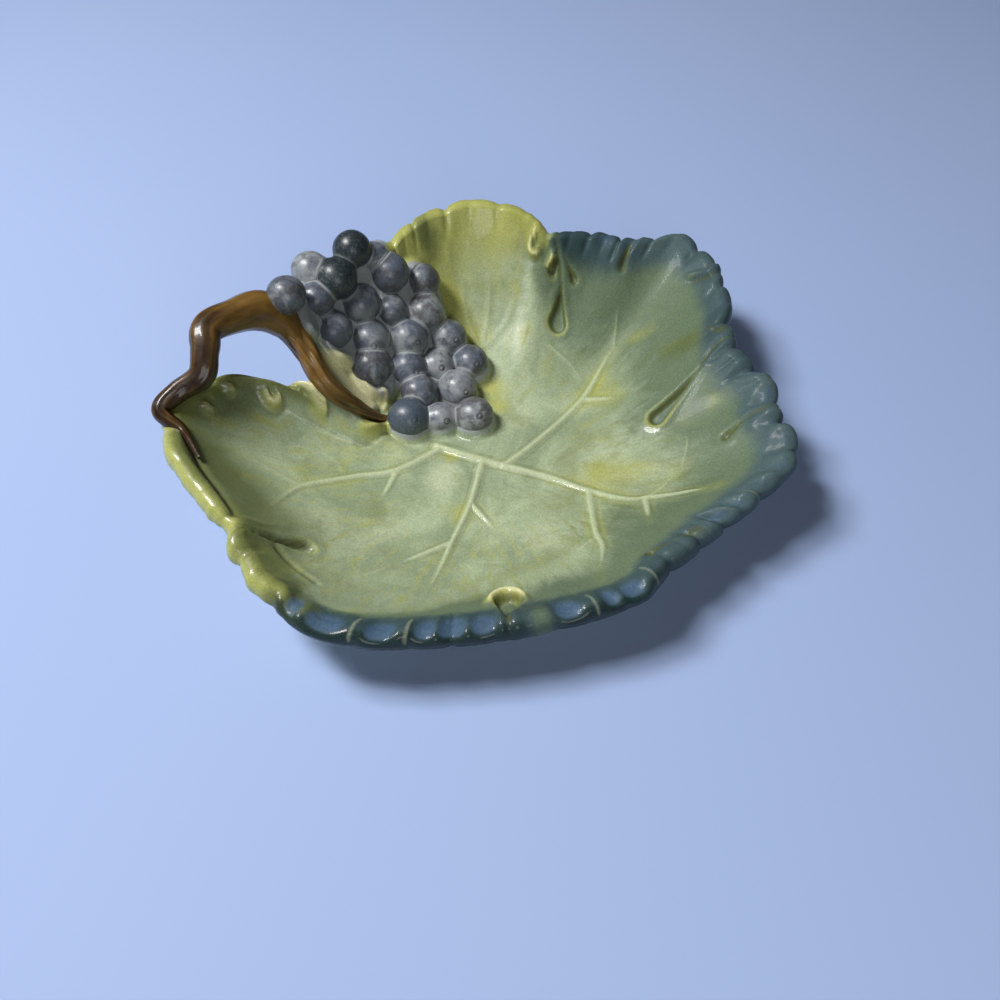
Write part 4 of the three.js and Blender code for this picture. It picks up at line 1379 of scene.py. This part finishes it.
class LEAFBOWL_OT_grapes(bpy.types.Operator):
    """Build the bunch of grapes"""

    bl_idname = "leafbowl.grapes"
    bl_label = "Grapes"

    def execute(self, context):
        settings = context.scene.leaf_bowl
        pale = grape_glaze(settings.colours, False)
        dark = grape_glaze(settings.colours, True)
        middles, radii = grape_middles()
        for k in range(len(radii)):
            first, rows, last, masks = grape_skin(k, middles, radii)
            mesh = skin_mesh(f"glazed_grape_{k + 1:02d}", first, rows, last)
            paint(mesh, "glaze_a", with_ends(masks, masks[0, 0], masks[-1, 0]))
            is_dark = k + 1 in DARK_GRAPES
            slot = "dark_grape_glaze" if is_dark else "grape_glaze"
            place_piece(mesh, dark if is_dark else pale, slot, f"grape_{k + 1:02d}")
        return {"FINISHED"}


class LEAFBOWL_OT_stage(bpy.types.Operator):
    """Set the floor, the light and the camera"""

    bl_idname = "leafbowl.stage"
    bl_label = "Stage"

    def execute(self, context):
        scene = context.scene
        settings = scene.leaf_bowl.stage
        mesh = bpy.data.meshes.new("floor")
        corners = [(x * FLOOR_HALF, y * FLOOR_HALF, 0.0) for x, y in ((-1, -1), (1, -1), (1, 1), (-1, 1))]
        mesh.from_pydata(corners, [], [(0, 1, 2, 3)])
        g = Glaze("floor")
        clouds = g.span(g.noise(3.0, 2.0), 0.3, 0.7, 0.0, 0.06)
        shade = g.mix(clouds, settings.floor, settings.floor_cloud)
        g.feed(g.shader.inputs["Base Color"], shade)
        g.shader.inputs["Roughness"].default_value = 0.9
        g.shader.inputs["Specular IOR Level"].default_value = 0.1
        mesh.materials.append(g.material)
        floor = bpy.data.objects.new("floor", mesh)
        scene.collection.objects.link(floor)

        for name, (side, place) in LAMPS.items():
            data = bpy.data.lights.new(name, "AREA")
            data.energy = getattr(settings, name)
            data.size = side
            lamp = bpy.data.objects.new(name, data)
            lamp.location = place
            aim = -lamp.location.normalized()
            lamp.rotation_euler = aim.to_track_quat("-Z", "Y").to_euler()
            scene.collection.objects.link(lamp)

        world = bpy.data.worlds.new("sky")
        world.use_nodes = True
        back = world.node_tree.nodes["Background"]
        back.inputs["Color"].default_value = SKY_COLOUR
        back.inputs["Strength"].default_value = settings.sky
        scene.world = world

        data = bpy.data.cameras.new("camera")
        data.sensor_width = CAMERA_SENSOR
        data.lens = CAMERA_LENS
        camera = bpy.data.objects.new("camera", data)
        camera.location = set_down(CAMERA_PLACE)
        camera.rotation_euler = (math.radians(CAMERA_TILT), 0.0, 0.0)
        scene.collection.objects.link(camera)
        scene.camera = camera
        scene.view_settings.view_transform = "Standard"
        return {"FINISHED"}


class LEAFBOWL_PT_panel(bpy.types.Panel):
    """Lists the steps that build the bowl"""

    bl_idname = "LEAFBOWL_PT_panel"
    bl_label = "Leaf Bowl"
    bl_space_type = "VIEW_3D"
    bl_region_type = "UI"
    bl_category = "Leaf Bowl"

    def draw(self, context):
        settings = context.scene.leaf_bowl
        for operator in OPERATORS:
            self.layout.operator(operator.bl_idname)
        for group in (settings.shape, settings.colours, settings.stage):
            box = self.layout.box()
            for name in group.__annotations__:
                box.prop(group, name)


OPERATORS = (LEAFBOWL_OT_leaf, LEAFBOWL_OT_foot, LEAFBOWL_OT_twigs, LEAFBOWL_OT_grapes, LEAFBOWL_OT_stage)
CLASSES = (LeafBowlShape, LeafBowlColours, LeafBowlStage, LeafBowlSettings, *OPERATORS, LEAFBOWL_PT_panel)


def register():
    """Registers the settings, operators and panel."""
    for cls in CLASSES:
        bpy.utils.register_class(cls)
    bpy.types.Scene.leaf_bowl = bpy.props.PointerProperty(type=LeafBowlSettings)


def unregister():
    """Removes the settings, operators and panel."""
    del bpy.types.Scene.leaf_bowl
    for cls in reversed(CLASSES):
        bpy.utils.unregister_class(cls)


def main():
    """Builds every piece and the stage."""
    register()
    bpy.ops.leafbowl.leaf()
    bpy.ops.leafbowl.foot()
    bpy.ops.leafbowl.twigs()
    bpy.ops.leafbowl.grapes()
    bpy.ops.leafbowl.stage()


if __name__ == "__main__":
    main()
